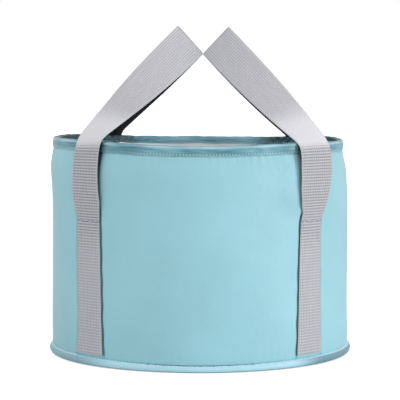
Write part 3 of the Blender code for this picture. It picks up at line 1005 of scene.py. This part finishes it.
def liner_shell(wall, straps, liner):
    """The liner: from the middle of its floor out, round the corner, up the wall, and back underneath."""
    angle = even_angles(LINER_STEP)
    bottom, top = (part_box("liner_floor")[i][2] for i in (0, 1))
    inner = wall.radius - LINER_INSIDE
    outer = wall.radius - LINER_OUTSIDE
    corner = liner.corner
    bend = np.linspace(-math.pi / 2, 0, 7)
    back = bend[-2::-1]
    floor = np.linspace(DISC_START, inner - corner, 26)[:-1]
    wall_up = np.linspace(top + corner, LINER_TOP, 46)[1:]
    wall_down = np.array([LINER_TOP, 0.200, 0.192, 0.186, 0.120, 0.060, 0.020, bottom + corner])
    radius, height = profile(
        (floor, top),
        (inner - corner + corner * np.cos(bend), top + corner + corner * np.sin(bend)),
        (inner, wall_up),
        (outer, wall_down),
        (outer - corner + corner * np.cos(back), bottom + corner + corner * np.sin(back)),
        (np.linspace(outer - corner, DISC_START, 5)[1:], bottom),
    )
    faces_bowl = (np.arange(len(radius)) < len(floor) + len(bend) + len(wall_up))[:, None]
    upright = ease((height - top - 0.003) / 0.006)
    wall_waves = 0.5 + 0.3 * wrinkles(angle, height, LINER_WALL_WAVES)
    floor_waves = 0.5 + 0.3 * wrinkles(angle, radius, LINER_FLOOR_WAVES)
    roll = liner.roll * ease((0.2055 - height) / 0.008) * ease((height - 0.140) / 0.055)
    push = (liner.wrinkle * np.clip(wall_waves, 0, 1.4) + roll) * upright * faces_bowl
    near_middle = ease(radius / 0.03) * ease((inner - corner - radius) / 0.01)
    lift = liner.wrinkle * np.clip(floor_waves, 0, 1.4) * (1 - upright) * faces_bowl * near_middle
    moved = drawn_in(wall, wall.radius - radius, height) + rim_shift(wall, straps, angle, height) * upright
    points = around(radius - moved * upright - push, angle, height + lift + drawn_up(wall, angle, height))
    rows = path_length(np.hstack([radius, height]))
    return grid_mesh("bowl_liner", points, rows, ring_metres(angle, inner), closed_rows=False)


def base_pad():
    """The base: fabric under foam, a round slab with a rounded edge, whose underside puckers at its seam."""
    angle = even_angles(LINER_STEP)
    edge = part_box("base_fabric")[1][0]
    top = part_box("base_foam")[1][2]
    flat = edge - 0.003
    bend = np.linspace(0, math.pi, 9)[1:-1]
    inward = np.linspace(DISC_START, flat, 24)
    rounding = (flat + (edge - flat) * np.sin(bend), top / 2 * (1 - np.cos(bend)))
    radius, height = profile((inward, 0), rounding, (inward[::-4], top))
    under = (np.arange(len(radius)) < len(inward))[:, None]
    seam = np.exp(-(flat - np.minimum(radius, flat)) / 0.010) * ease((edge - radius) / 0.004)
    puckers = BASE_PUCKER * np.clip(0.5 + 0.35 * wrinkles(angle, radius, BASE_PUCKERS), 0, 1.5) * seam
    quilt = BASE_QUILT * np.clip(0.5 + 0.35 * wrinkles(angle, radius, BASE_QUILTING), 0, 1.5)
    lift = under * (puckers + quilt * ease(radius / 0.03))
    rows = path_length(np.hstack([radius, height]))
    return grid_mesh("base_pad", around(radius, angle, height + lift), rows, ring_metres(angle, edge), False)


def binding_surface(settings, angle, share):
    """Points on the binding, and the ways out of it, from its outer hem, share 0, to its inner hem, share 1.

    The section is a leg, half a squared ellipse over the wall's edge, and a leg. Gathered puckers stand on
    it, it is pulled in along the stitches, and its hems waver.
    """
    wall, straps, rim = settings.wall, settings.straps, settings.rim
    outer = wall.radius + BINDING_CLEARANCE - wall.draw_in
    inner = wall.radius - LINER_INSIDE - BINDING_CLEARANCE - (wall.draw_in - wall.rim_pinch)
    half = (outer - inner) / 2
    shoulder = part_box("rim_binding")[1][2] - rim.crown
    leg = np.clip(share / OUTER_LEG, 0, 1)
    arch = np.clip((share - OUTER_LEG) / (INNER_LEG - OUTER_LEG), 0, 1) * math.pi
    inner_leg = np.clip((share - INNER_LEG) / (1 - INNER_LEG), 0, 1)
    radius = inner + half + half * np.sign(np.cos(arch)) * np.abs(np.cos(arch)) ** 0.65
    height = shoulder + rim.crown * np.abs(np.sin(arch)) ** 0.75
    height = height - (1 - leg) * (shoulder - rim.hem) - inner_leg * (shoulder - rim.inner_hem)
    out = unit(np.stack(np.broadcast_arrays(np.cos(arch), np.sin(arch) * half / rim.crown), axis=-1))
    slanted = wrinkles(angle, height, BINDING_SLANTS)
    folds = np.cos(TURN * 1.9 * share + 1.5 * wrinkles(angle, share, BINDING_FOLDS))
    near_hem = np.minimum(share, 1 - share)
    pull = PULL_DEPTH * bell(near_hem - PULL_PLACE, PULL_BREADTH)
    plump = LEG_BULGE * np.sin(math.pi * np.clip(near_hem / OUTER_LEG, 0, 1))
    rise = rim.pucker * (0.55 * slanted + 0.9 * folds) * ease(near_hem / 0.10) + plump - pull
    radius = radius + out[..., 0] * rise - rim_shift(wall, straps, angle, height)
    hem = HEM_WAVER * wrinkles(angle, share, BINDING_HEM) * ease(1 - near_hem / 0.2)
    height = height + out[..., 1] * rise + hem + rim_rise(angle)
    outward = around(out[..., 0], angle, np.broadcast_to(out[..., 1], radius.shape))
    return around(radius, angle, height), outward


def tape_mesh(name, surface, thickness, metres, columns):
    """A tape on a surface of points and ways out: its outside along the rows, and its inside back."""
    points, outward = surface
    both = np.concatenate([points, (points - outward * thickness)[::-1]])
    there_and_back = np.append(metres, metres[::-1])
    return grid_mesh(name, both, np.append(there_and_back, metres[0]), columns, closed_rows=True)


def satin_rim(settings):
    """The binding as a folded tape, with the marks for its painted highlight and its painted shade."""
    angle = even_angles(RIM_STEP)
    outer_leg = np.linspace(0, OUTER_LEG, 13)
    arch = np.linspace(OUTER_LEG, INNER_LEG, 12)[1:-1]
    share = np.concatenate([outer_leg, arch, np.linspace(INNER_LEG, 1, 13)])
    surface = binding_surface(settings, angle[None, :], share[:, None])
    columns = ring_metres(angle, settings.wall.radius)
    mesh = tape_mesh("satin_rim", surface, settings.rim.thickness, share * BINDING_WIDTH, columns)
    shares = np.append(share, share[::-1])[:, None]
    dark = rim_painted_shade(settings.wall, settings.straps, angle, shares)
    mark(mesh, "painted_shade", dark)
    # Painted highlight along the fold over the edge and at both hems, paler inside, kept off the painted
    # shade
    fold = sum(strength * bell(shares - place, breadth) for place, breadth, strength in BINDING_SHINES)
    fold = fold + 0.25 * ease(shares / 0.1 - 6)
    mark(mesh, "fold", fold * (0.75 + 0.25 * wrinkles(angle, 0, BINDING_SHINE)) * (1 - dark))
    return mesh


def stitch_step(settings):
    """Angle from stitch to stitch round the rim, with a whole number of stitches."""
    return TURN / int(TURN * settings.wall.radius / settings.rim.stitch_pitch)


def stitch_row(name, surface, angle, size):
    """A stitch at each angle, which lies along a surface that gives its points and ways out at an angle."""
    step = (angle[1] - angle[0]) / 4
    centres, outward = surface(angle)
    along = surface(angle + step)[0] - surface(angle - step)[0]
    return stitch_mesh(name, centres + outward * STITCH_LIFT, along, outward, size)


def rim_stitches(settings, name, share):
    """A row of stitches that follows the binding at a share of the way from hem to hem."""
    angle = np.arange(0, TURN - 0.001, stitch_step(settings))
    size = (settings.rim.stitch_pitch * STITCH_FILL, *RIM_STITCH)

    def surface(place):
        return binding_surface(settings, place, np.full(len(place), share))

    return stitch_row(name, surface, angle, size)


def piping_surface(piping, angle, turn):
    """Points on the piping, and the ways out of it, at an angle round its section, 0 outwards and 90 up."""
    puckers = wrinkles(angle, turn, TAPE_PUCKERS) + 0.6 * wrinkles(angle, turn, TAPE_WAVES)
    upper = 0.4 + 0.6 * bell(turn - piping.stitch_angle, 0.9)
    pulled = 0.00022 * bell(turn - piping.stitch_angle, 0.30)
    slim = piping.slimming * at_front(angle)
    size = piping.radius - slim + piping.pucker * (puckers - 1) * upper * (np.sin(turn) > -0.7) - pulled
    radius = piping.centre + slim + size * np.cos(turn)
    points = around(radius, angle, piping.height - slim + size * np.sin(turn))
    return points, around(np.cos(turn) + 0 * angle, angle, np.sin(turn) + 0 * angle)


def piping_band(piping):
    """The tape round the piping's cord, from seam to seam, with painted shade underneath and at the left and
    right.
    """
    angle = even_angles(RIM_STEP)
    limit = math.pi - piping.opening / 2
    turn = np.linspace(limit, -limit, 30)
    surface = piping_surface(piping, angle[None, :], turn[:, None])
    columns = ring_metres(angle, piping.centre)
    mesh = tape_mesh("piping_band", surface, piping.thickness, turn * piping.radius, columns)
    turns = np.append(turn, turn[::-1])[:, None]
    # Painted shadow under the piping, and painted shade at its left and right
    underside = UNDER_STRENGTH * ease((UNDER_FROM - turns) / UNDER_RISE)
    strength = np.where(np.sin(angle) > 0, piping.right_shade, piping.left_shade)
    sides = ease((np.abs(np.sin(angle)) - SIDE_FROM) / SIDE_RISE) * ease((SIDE_TOP - turns) / SIDE_FADE)
    mark(mesh, "painted_shade", np.maximum(underside, strength * sides))
    return mesh


def piping_stitches(piping):
    """The row of stitches near the piping's upper edge."""
    count = int(TURN * piping.centre / piping.stitch_pitch)
    angle = np.linspace(0, TURN, count, endpoint=False)
    size = (piping.stitch_pitch * STITCH_FILL, *PIPING_STITCH)

    def surface(place):
        return piping_surface(piping, place, piping.stitch_angle)

    return stitch_row("piping_stitches", surface, angle, size)


def webbing_mesh(name, straps, lines, halves, curvature, marks):
    """A length of webbing carried along a path.

    lines holds the middle of each row and the ways across it and out of it. The section is a flat oval
    between the inner and outer half widths, bent to the curvature. marks holds values for each row by name,
    and the ribs are as strong as its ribbed says.
    """
    centre, across, outward = lines
    inner, outer = (half[:, None] for half in halves)
    spread = -np.cos(np.linspace(0, math.pi, WEBBING_COLUMNS))
    share = np.concatenate([spread, spread[-2:0:-1]])[None, :]
    face = np.concatenate([np.ones(len(spread)), -np.ones(len(spread) - 2)])[None, :]
    along = path_length(centre)
    offset = np.where(share < 0, share * outer, share * inner)
    flat = 1 - np.abs(share) ** 10
    wave = np.cos(TURN * along / straps.rib_pitch)[:, None]
    ribs = straps.rib_depth * wave * flat * marks["ribbed"][:, None]
    lift = face * (straps.thickness / 2 * np.sqrt(flat) + ribs) - offset**2 * curvature[:, None] / 2
    points = centre[:, None] + across[:, None] * offset[..., None] + outward[:, None] * lift[..., None]
    columns = np.append(share, share[0, 0]) * straps.width / 2
    mesh = grid_mesh(name, points, along, columns, closed_rows=False)
    mark(mesh, "inner_face", np.broadcast_to(face < 0, offset.shape).astype(float))
    for mark_name, values in marks.items():
        mark(mesh, mark_name, np.broadcast_to(values[:, None], offset.shape))
    return mesh


def strap_leg(settings, name, azimuth):
    """The sewn part of a strap, from the piping up to its tack stitches."""
    wall, straps = settings.wall, settings.straps
    height = np.arange(straps.foot, straps.tack - 0.0001, WEBBING_STEP)
    radius = straps.sewn_radius - tucked(wall, height)
    outward = np.broadcast_to(around(1.0, azimuth, 0.0), (len(height), 3))
    towards_side = 1 if math.sin(azimuth) * math.cos(azimuth) > 0 else -1
    across = -towards_side * np.broadcast_to(around(1.0, azimuth + math.pi / 2, 0.0), (len(height), 3))
    curvature = np.full(len(height), 1 / wall.radius)
    lines = (around(radius, azimuth, height), across, outward)
    halves = strap_halves(height, math.sin(azimuth) > 0)
    marks = {"ribbed": 0.6 + 0.4 * ease((height - 0.105) / 0.03)}
    return webbing_mesh(name, straps, lines, halves, curvature, marks)


def turned_round(points, angle):
    """Points moved round the upright axis, towards the middle for those at the left and back."""
    x, y, z = points.T
    return np.stack([x * np.cos(angle) + y * np.sin(angle), y * np.cos(angle) - x * np.sin(angle), z], axis=1)


def handle_lines(settings, handle):
    """The middle of a handle's webbing, and the ways across and out of it, as for the left one.

    From the front foot it bows off the wall, bends at the rim and runs straight to its peak, and the rear
    half mirrors that. On the way up the webbing turns from facing out to the slant that it has at the peak.
    """
    straps = settings.straps
    rise = np.linspace(0, 1, 80)
    radius = straps.sewn_radius + (handle.rim_radius - straps.sewn_radius) * ease(rise)
    radius = radius + handle.bow * np.sin(math.pi * rise)
    lower = around(radius, -straps.azimuth, straps.tack + rise * (handle.bend_height - straps.tack))
    target = np.array([-handle.peak_side, 0, handle.peak_height])
    apex = target
    for _ in range(3):
        half = np.concatenate([lower, [apex]])
        mirrored = half[-2::-1] * np.array([1, -1, 1])
        path = rounded(resampled(np.concatenate([half, mirrored]), PATH_STEP), 7)
        apex = apex + target - path[len(path) // 2]
    path = resampled(path, WEBBING_STEP)
    distance = path_length(path)
    middle = distance[-1] / 2
    from_foot = middle - np.abs(distance - middle)
    bend = path_length(lower)[-1]
    turned = np.clip((from_foot - bend) / (middle - bend), 0, 1) ** handle.twist
    side = np.where(distance < middle, -1, 1)
    rear = handle.rear_turn * ease(from_foot / bend) * (1 - turned) * (side > 0)
    path = turned_round(path, rear)
    azimuth = straps.azimuth + handle.turn * ease(from_foot / bend) - rear
    foot = np.stack([np.cos(azimuth), side * np.sin(azimuth), 0 * side], axis=1)
    turned = turned[:, None]
    peak = np.array([math.cos(handle.peak_tilt), 0, -math.sin(handle.peak_tilt)])
    across = foot + (peak - foot) * turned
    along = unit(np.gradient(path, axis=0))
    across = unit(across - np.sum(across * along, axis=1, keepdims=True) * along)
    return path, across, np.cross(across, along), from_foot


def handle_webbing(settings, name, handle, mirror):
    """A whole handle in one length of webbing, mirrored for the right side."""
    wall, straps = settings.wall, settings.straps
    centre, across, outward, from_foot = handle_lines(settings, handle)
    flip = np.array([mirror, 1, 1])
    halves = strap_halves(straps.tack + from_foot, mirror < 0)
    curvature = (1 - ease(from_foot / 0.03)) / wall.radius
    # Painted light at the bend over the rim, and painted shade at the crest of the peak
    marks = {
        "ribbed": 1 - 0.85 * ease((from_foot - RIBS_END) / 0.010),
        "painted_bend_light": 0.8 * ease((from_foot - RIBS_END) / 0.012) * ease((BEND_LIGHT_END - from_foot) / 0.035),
        "painted_crest_shade": bell(from_foot - from_foot.max(), 0.0020),
    }
    lines = (centre * flip, across * flip, outward * flip)
    return webbing_mesh(name, straps, lines, halves, curvature, marks)


def tack_stitches(settings, name, azimuth):
    """Four short stitches across a strap, each at its own slant."""
    straps = settings.straps
    slant = np.array(TACK_SLANTS)
    height = straps.tack + np.array(TACK_HEIGHTS)
    angle = azimuth + np.array(TACK_PLACES) / straps.sewn_radius
    radius = straps.sewn_radius + straps.thickness / 2 + 0.0003
    outward = around(1.0, angle, 0 * angle)
    along = around(1.0, angle + math.pi / 2, 0 * angle) * np.cos(slant)[:, None]
    along = along + np.array([0, 0, 1]) * np.sin(slant)[:, None]
    return stitch_mesh(name, around(radius, angle, height), along, outward, TACK_STITCH)


def seam_strip(name, wall, place, size, low, high):
    """A strip of fabric up the back, which draws in at the rim like the layer of the wall that it lies on."""
    plain_radius, depth = place
    width, thickness = size
    height = np.linspace(low, high, 60)
    share = np.linspace(-1, 1, 11)
    ring = np.concatenate([share, share[::-1]])[None, :]
    face = np.concatenate([np.ones(11), -np.ones(11)])[None, :]
    edge = 1 - 0.6 * np.abs(ring) ** 8
    radius = (plain_radius - drawn_in(wall, depth, height))[:, None] + face * thickness / 2 * edge
    angle = math.pi + ring * width / 2 / wall.radius
    columns = np.append(ring, ring[0, 0]) * width / 2
    return grid_mesh(name, around(radius, angle, height[:, None]), height, columns, closed_rows=False)


def seam_stitches(wall, name, offset):
    """A row of stitches up the back seam, at an offset from its middle."""
    height = np.arange(*SEAM_STITCHES)
    angle = np.full(len(height), math.pi + offset / wall.radius)
    radius = wall.radius - drawn_in(wall, 0, height) + SEAM_STITCH_LIFT
    outward = around(1.0, angle, 0 * height)
    along = np.broadcast_to(np.array([0.0, 0.0, 1.0]), outward.shape)
    return stitch_mesh(name, around(radius, angle, height), along, outward, SEAM_STITCH)


class WASHBASIN_OT_wall(bpy.types.Operator):
    """Make the padded wall and the seam up its back"""

    bl_idname = "washbasin.wall"
    bl_label = "Padded wall"

    def execute(self, context):
        settings = context.scene.washbasin
        wall, straps = settings.wall, settings.straps
        cloth = wall_fabric(wall, "wall_cloth", wall.colour, wall.painted_shade_colour)
        foams = [f"wall_foam_{i}" for i in (1, 2, 3, 4)]
        piece = add_piece(padded_wall(wall, straps), cloth, ["outer_wall", *foams])
        sink_with_rim(piece)
        low, high = (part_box("outer_back_seam")[i][2] for i in (0, 1))
        outside = wall.radius + SEAM_FOLD_LIFT
        strip = seam_strip("wall_seam_fold", wall, (outside, 0), SEAM_FOLD, low, high)
        fold = add_piece(strip, cloth, ["outer_back_seam"])
        yarn = thread("wall_thread", settings.rim.thread_colour)
        rows = []
        for name, offset in (("left", SEAM_STITCH_OFFSET), ("right", -SEAM_STITCH_OFFSET)):
            rows.append(add_piece(seam_stitches(wall, f"wall_seam_stitches_{name}", offset), yarn))
        for part in (fold, *rows):
            sink_with_rim(part)
        return {"FINISHED"}


class WASHBASIN_OT_liner(bpy.types.Operator):
    """Make the waterproof liner and the tape over its seam"""

    bl_idname = "washbasin.liner"
    bl_label = "Liner"

    def execute(self, context):
        settings = context.scene.washbasin
        wall, straps, liner = settings.wall, settings.straps, settings.liner
        film = coated_liner("silver_liner_film", liner.colour)
        piece = add_piece(liner_shell(wall, straps, liner), film, ["liner_wall", "liner_floor"])
        sink_with_rim(piece)
        reach = wall.radius - LINER_INSIDE
        low, high = (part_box("liner_back_seam")[i][2] for i in (0, 1))
        low = low + liner.corner
        inside = reach - SEAM_TAPE_LIFT
        strip = seam_strip("liner_seam_tape", wall, (inside, LINER_INSIDE), SEAM_TAPE, low, high)
        film = coated_liner("liner_tape_film", liner.tape_colour)
        tape = add_piece(strip, film, ["liner_back_seam"])
        sink_with_rim(tape)
        return {"FINISHED"}


class WASHBASIN_OT_base(bpy.types.Operator):
    """Make the padded base"""

    bl_idname = "washbasin.base"
    bl_label = "Base"

    def execute(self, context):
        wall = context.scene.washbasin.wall
        cloth = wall_fabric(wall, "base_cloth", scaled(wall.colour, 0.8), wall.painted_shade_colour)
        piece = add_piece(base_pad(), cloth, ["base_fabric", "base_foam"])
        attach(piece, "base")
        return {"FINISHED"}


class WASHBASIN_OT_rim(bpy.types.Operator):
    """Make the satin binding and its two rows of stitches"""

    bl_idname = "washbasin.rim"
    bl_label = "Satin rim"

    def execute(self, context):
        settings = context.scene.washbasin
        cloth = satin(settings.rim, settings.wall.radius * stitch_step(settings))
        piece = add_piece(satin_rim(settings), cloth, ["rim_binding"])
        yarn = thread("rim_thread", settings.rim.thread_colour)
        outside = rim_stitches(settings, "rim_stitches_outside", OUTER_ROW)
        inside = rim_stitches(settings, "rim_stitches_inside", INNER_ROW)
        rows = [
            add_piece(outside, yarn, ["rim_stitch_outer"]),
            add_piece(inside, yarn, ["rim_stitch_inner"]),
        ]
        for part in (piece, *rows):
            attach(part, "rim")
        return {"FINISHED"}


class WASHBASIN_OT_piping(bpy.types.Operator):
    """Make the piping round the bottom edge and its stitches"""

    bl_idname = "washbasin.piping"
    bl_label = "Piping"

    def execute(self, context):
        settings = context.scene.washbasin
        piping = settings.piping
        cloth = wall_fabric(settings.wall, "piping_cloth", piping.colour, piping.painted_shade_colour)
        piece = add_piece(piping_band(piping), cloth, ["piping_tape", "piping_cord"])
        yarn = thread("piping_thread", piping.thread_colour)
        row = add_piece(piping_stitches(piping), yarn, ["piping_topstitch"])
        for part in (piece, row):
            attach(part, "base")
        return {"FINISHED"}


class WASHBASIN_OT_straps(bpy.types.Operator):
    """Make the four sewn straps and their tack stitches"""

    bl_idname = "washbasin.straps"
    bl_label = "Sewn straps"

    def execute(self, context):
        settings = context.scene.washbasin
        straps = settings.straps
        tape = webbing(straps)
        yarn = thread("tack_thread", straps.tack_colour)
        for end, start in (("front", 0), ("rear", math.pi)):
            for side, turn in (("left", -1), ("right", 1)):
                azimuth = turn * abs(start - straps.azimuth)
                leg_mesh = strap_leg(settings, f"{end}_{side}_webbing_leg", azimuth)
                leg = add_piece(leg_mesh, tape, [f"{end}_{side}_strap_leg"])
                fold_down(leg)
                tack_mesh = tack_stitches(settings, f"{end}_{side}_tack_stitches", azimuth)
                tack = add_piece(tack_mesh, yarn, [f"{end}_{side}_tack"])
                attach(tack, "upper_wall")
        return {"FINISHED"}


class WASHBASIN_OT_handles(bpy.types.Operator):
    """Make the two webbing handles"""

    bl_idname = "washbasin.handles"
    bl_label = "Handles"

    def execute(self, context):
        settings = context.scene.washbasin
        tape = bpy.data.materials["grey_webbing"]
        for side, mirror in (("left", 1), ("right", -1)):
            handle = getattr(settings, side)
            mesh = handle_webbing(settings, f"{side}_webbing_handle", handle, mirror)
            piece = add_piece(mesh, tape, [f"{side}_handle_loop"])
            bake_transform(piece)
        return {"FINISHED"}


def add_lamp(name, place, size, power):
    """A soft square lamp that faces the middle of the basin."""
    lamp = bpy.data.lights.new(name, "AREA")
    lamp.size = size
    lamp.energy = power
    holder = bpy.data.objects.new(name, lamp)
    holder.location = place
    holder.rotation_euler = (Vector((0, 0, 0.15)) - Vector(place)).to_track_quat("-Z", "Y").to_euler()
    bpy.context.scene.collection.objects.link(holder)


def seen_directly(tree):
    """1 for what the camera sees itself, 0 for the light on other things."""
    return tree.nodes.new("ShaderNodeLightPath").outputs["Is Camera Ray"]


class WASHBASIN_OT_stage(bpy.types.Operator):
    """Make the floor, the white surroundings, the lamps and the camera"""

    bl_idname = "washbasin.stage"
    bl_label = "Stage"

    def execute(self, context):
        stage = context.scene.washbasin.stage
        scene = context.scene
        self.add_floor(stage)
        self.add_surroundings(scene, stage)
        for lamp in LAMPS:
            add_lamp(*lamp)
        camera = bpy.data.cameras.new("camera")
        camera.lens = stage.lens
        holder = bpy.data.objects.new("camera", camera)
        holder.location = (0, -stage.distance, stage.height)
        holder.rotation_euler = (math.pi / 2 - stage.tilt, 0, 0)
        scene.collection.objects.link(holder)
        scene.camera = holder
        scene.view_settings.view_transform = "Standard"
        return {"FINISHED"}

    def add_floor(self, stage):
        shader = Shader("pale_floor", 0.9, 0.0)
        shader.put(stage.floor_colour, shader.surface.inputs["Base Color"])
        shader.put((1, 1, 1), shader.surface.inputs["Emission Color"])
        lift = shader.math("MULTIPLY", seen_directly(shader.tree), stage.floor_lift)
        shader.put(lift, shader.surface.inputs["Emission Strength"])
        mesh = bpy.data.meshes.new("floor")
        sides = ((-1, -1), (1, -1), (1, 1), (-1, 1))
        corners = [(x * FLOOR_REACH, y * FLOOR_REACH, -FLOOR_DEPTH) for x, y in sides]
        mesh.from_pydata(corners, [], [(0, 1, 2, 3)])
        mesh.materials.append(shader.material)
        floor = bpy.data.objects.new("floor", mesh)
        bpy.context.scene.collection.objects.link(floor)

    def add_surroundings(self, scene, stage):
        world = bpy.data.worlds.new("white_surroundings")
        world.use_nodes = True
        scene.world = world
        tree = world.node_tree
        strength = tree.nodes.new("ShaderNodeMapRange")
        strength.inputs["To Min"].default_value = stage.ambient
        strength.inputs["To Max"].default_value = 1.0
        tree.links.new(seen_directly(tree), strength.inputs["Value"])
        background = tree.nodes["Background"]
        background.inputs["Color"].default_value = (1, 1, 1, 1)
        tree.links.new(strength.outputs["Result"], background.inputs["Strength"])


class WASHBASIN_PT_build(bpy.types.Panel):
    """Lists the pieces of the washbasin and the sizes that shape them"""

    bl_idname = "WASHBASIN_PT_build"
    bl_label = "Washbasin"
    bl_space_type = "VIEW_3D"
    bl_region_type = "UI"
    bl_category = "Washbasin"

    def draw(self, context):
        settings = context.scene.washbasin
        for operator in OPERATORS:
            self.layout.operator(operator.bl_idname)
        for group in ("wall", "liner", "rim", "piping", "straps", "left", "right", "stage"):
            box = self.layout.box()
            box.label(text=group.capitalize())
            values = getattr(settings, group)
            for name in values.__annotations__:
                box.prop(values, name)


OPERATORS = (
    WASHBASIN_OT_stage,
    WASHBASIN_OT_wall,
    WASHBASIN_OT_liner,
    WASHBASIN_OT_base,
    WASHBASIN_OT_rim,
    WASHBASIN_OT_piping,
    WASHBASIN_OT_straps,
    WASHBASIN_OT_handles,
)
CLASSES = (
    WallSettings,
    LinerSettings,
    RimSettings,
    PipingSettings,
    StrapSettings,
    HandleSettings,
    StageSettings,
    WashbasinSettings,
    *OPERATORS,
    WASHBASIN_PT_build,
)


def register():
    for item in CLASSES:
        bpy.utils.register_class(item)
    bpy.types.Scene.washbasin = PointerProperty(type=WashbasinSettings)


def unregister():
    del bpy.types.Scene.washbasin
    for item in reversed(CLASSES):
        bpy.utils.unregister_class(item)


def set_right_handle(handle):
    """The right handle stands further off the wall and a little steeper than the left one."""
    handle.bow = 0.0045
    handle.rim_radius = 0.1560
    handle.turn = math.radians(-6)
    handle.rear_turn = 0.0
    handle.bend_height = 0.2135
    handle.twist = 0.78
    handle.peak_side = 0.0164
    handle.peak_height = 0.3144
    handle.peak_tilt = math.radians(46.5)


def main():
    register()
    set_right_handle(bpy.context.scene.washbasin.right)
    bpy.ops.washbasin.stage()
    bpy.ops.washbasin.wall()
    bpy.ops.washbasin.liner()
    bpy.ops.washbasin.base()
    bpy.ops.washbasin.rim()
    bpy.ops.washbasin.piping()
    bpy.ops.washbasin.straps()
    bpy.ops.washbasin.handles()


if __name__ == "__main__":
    main()
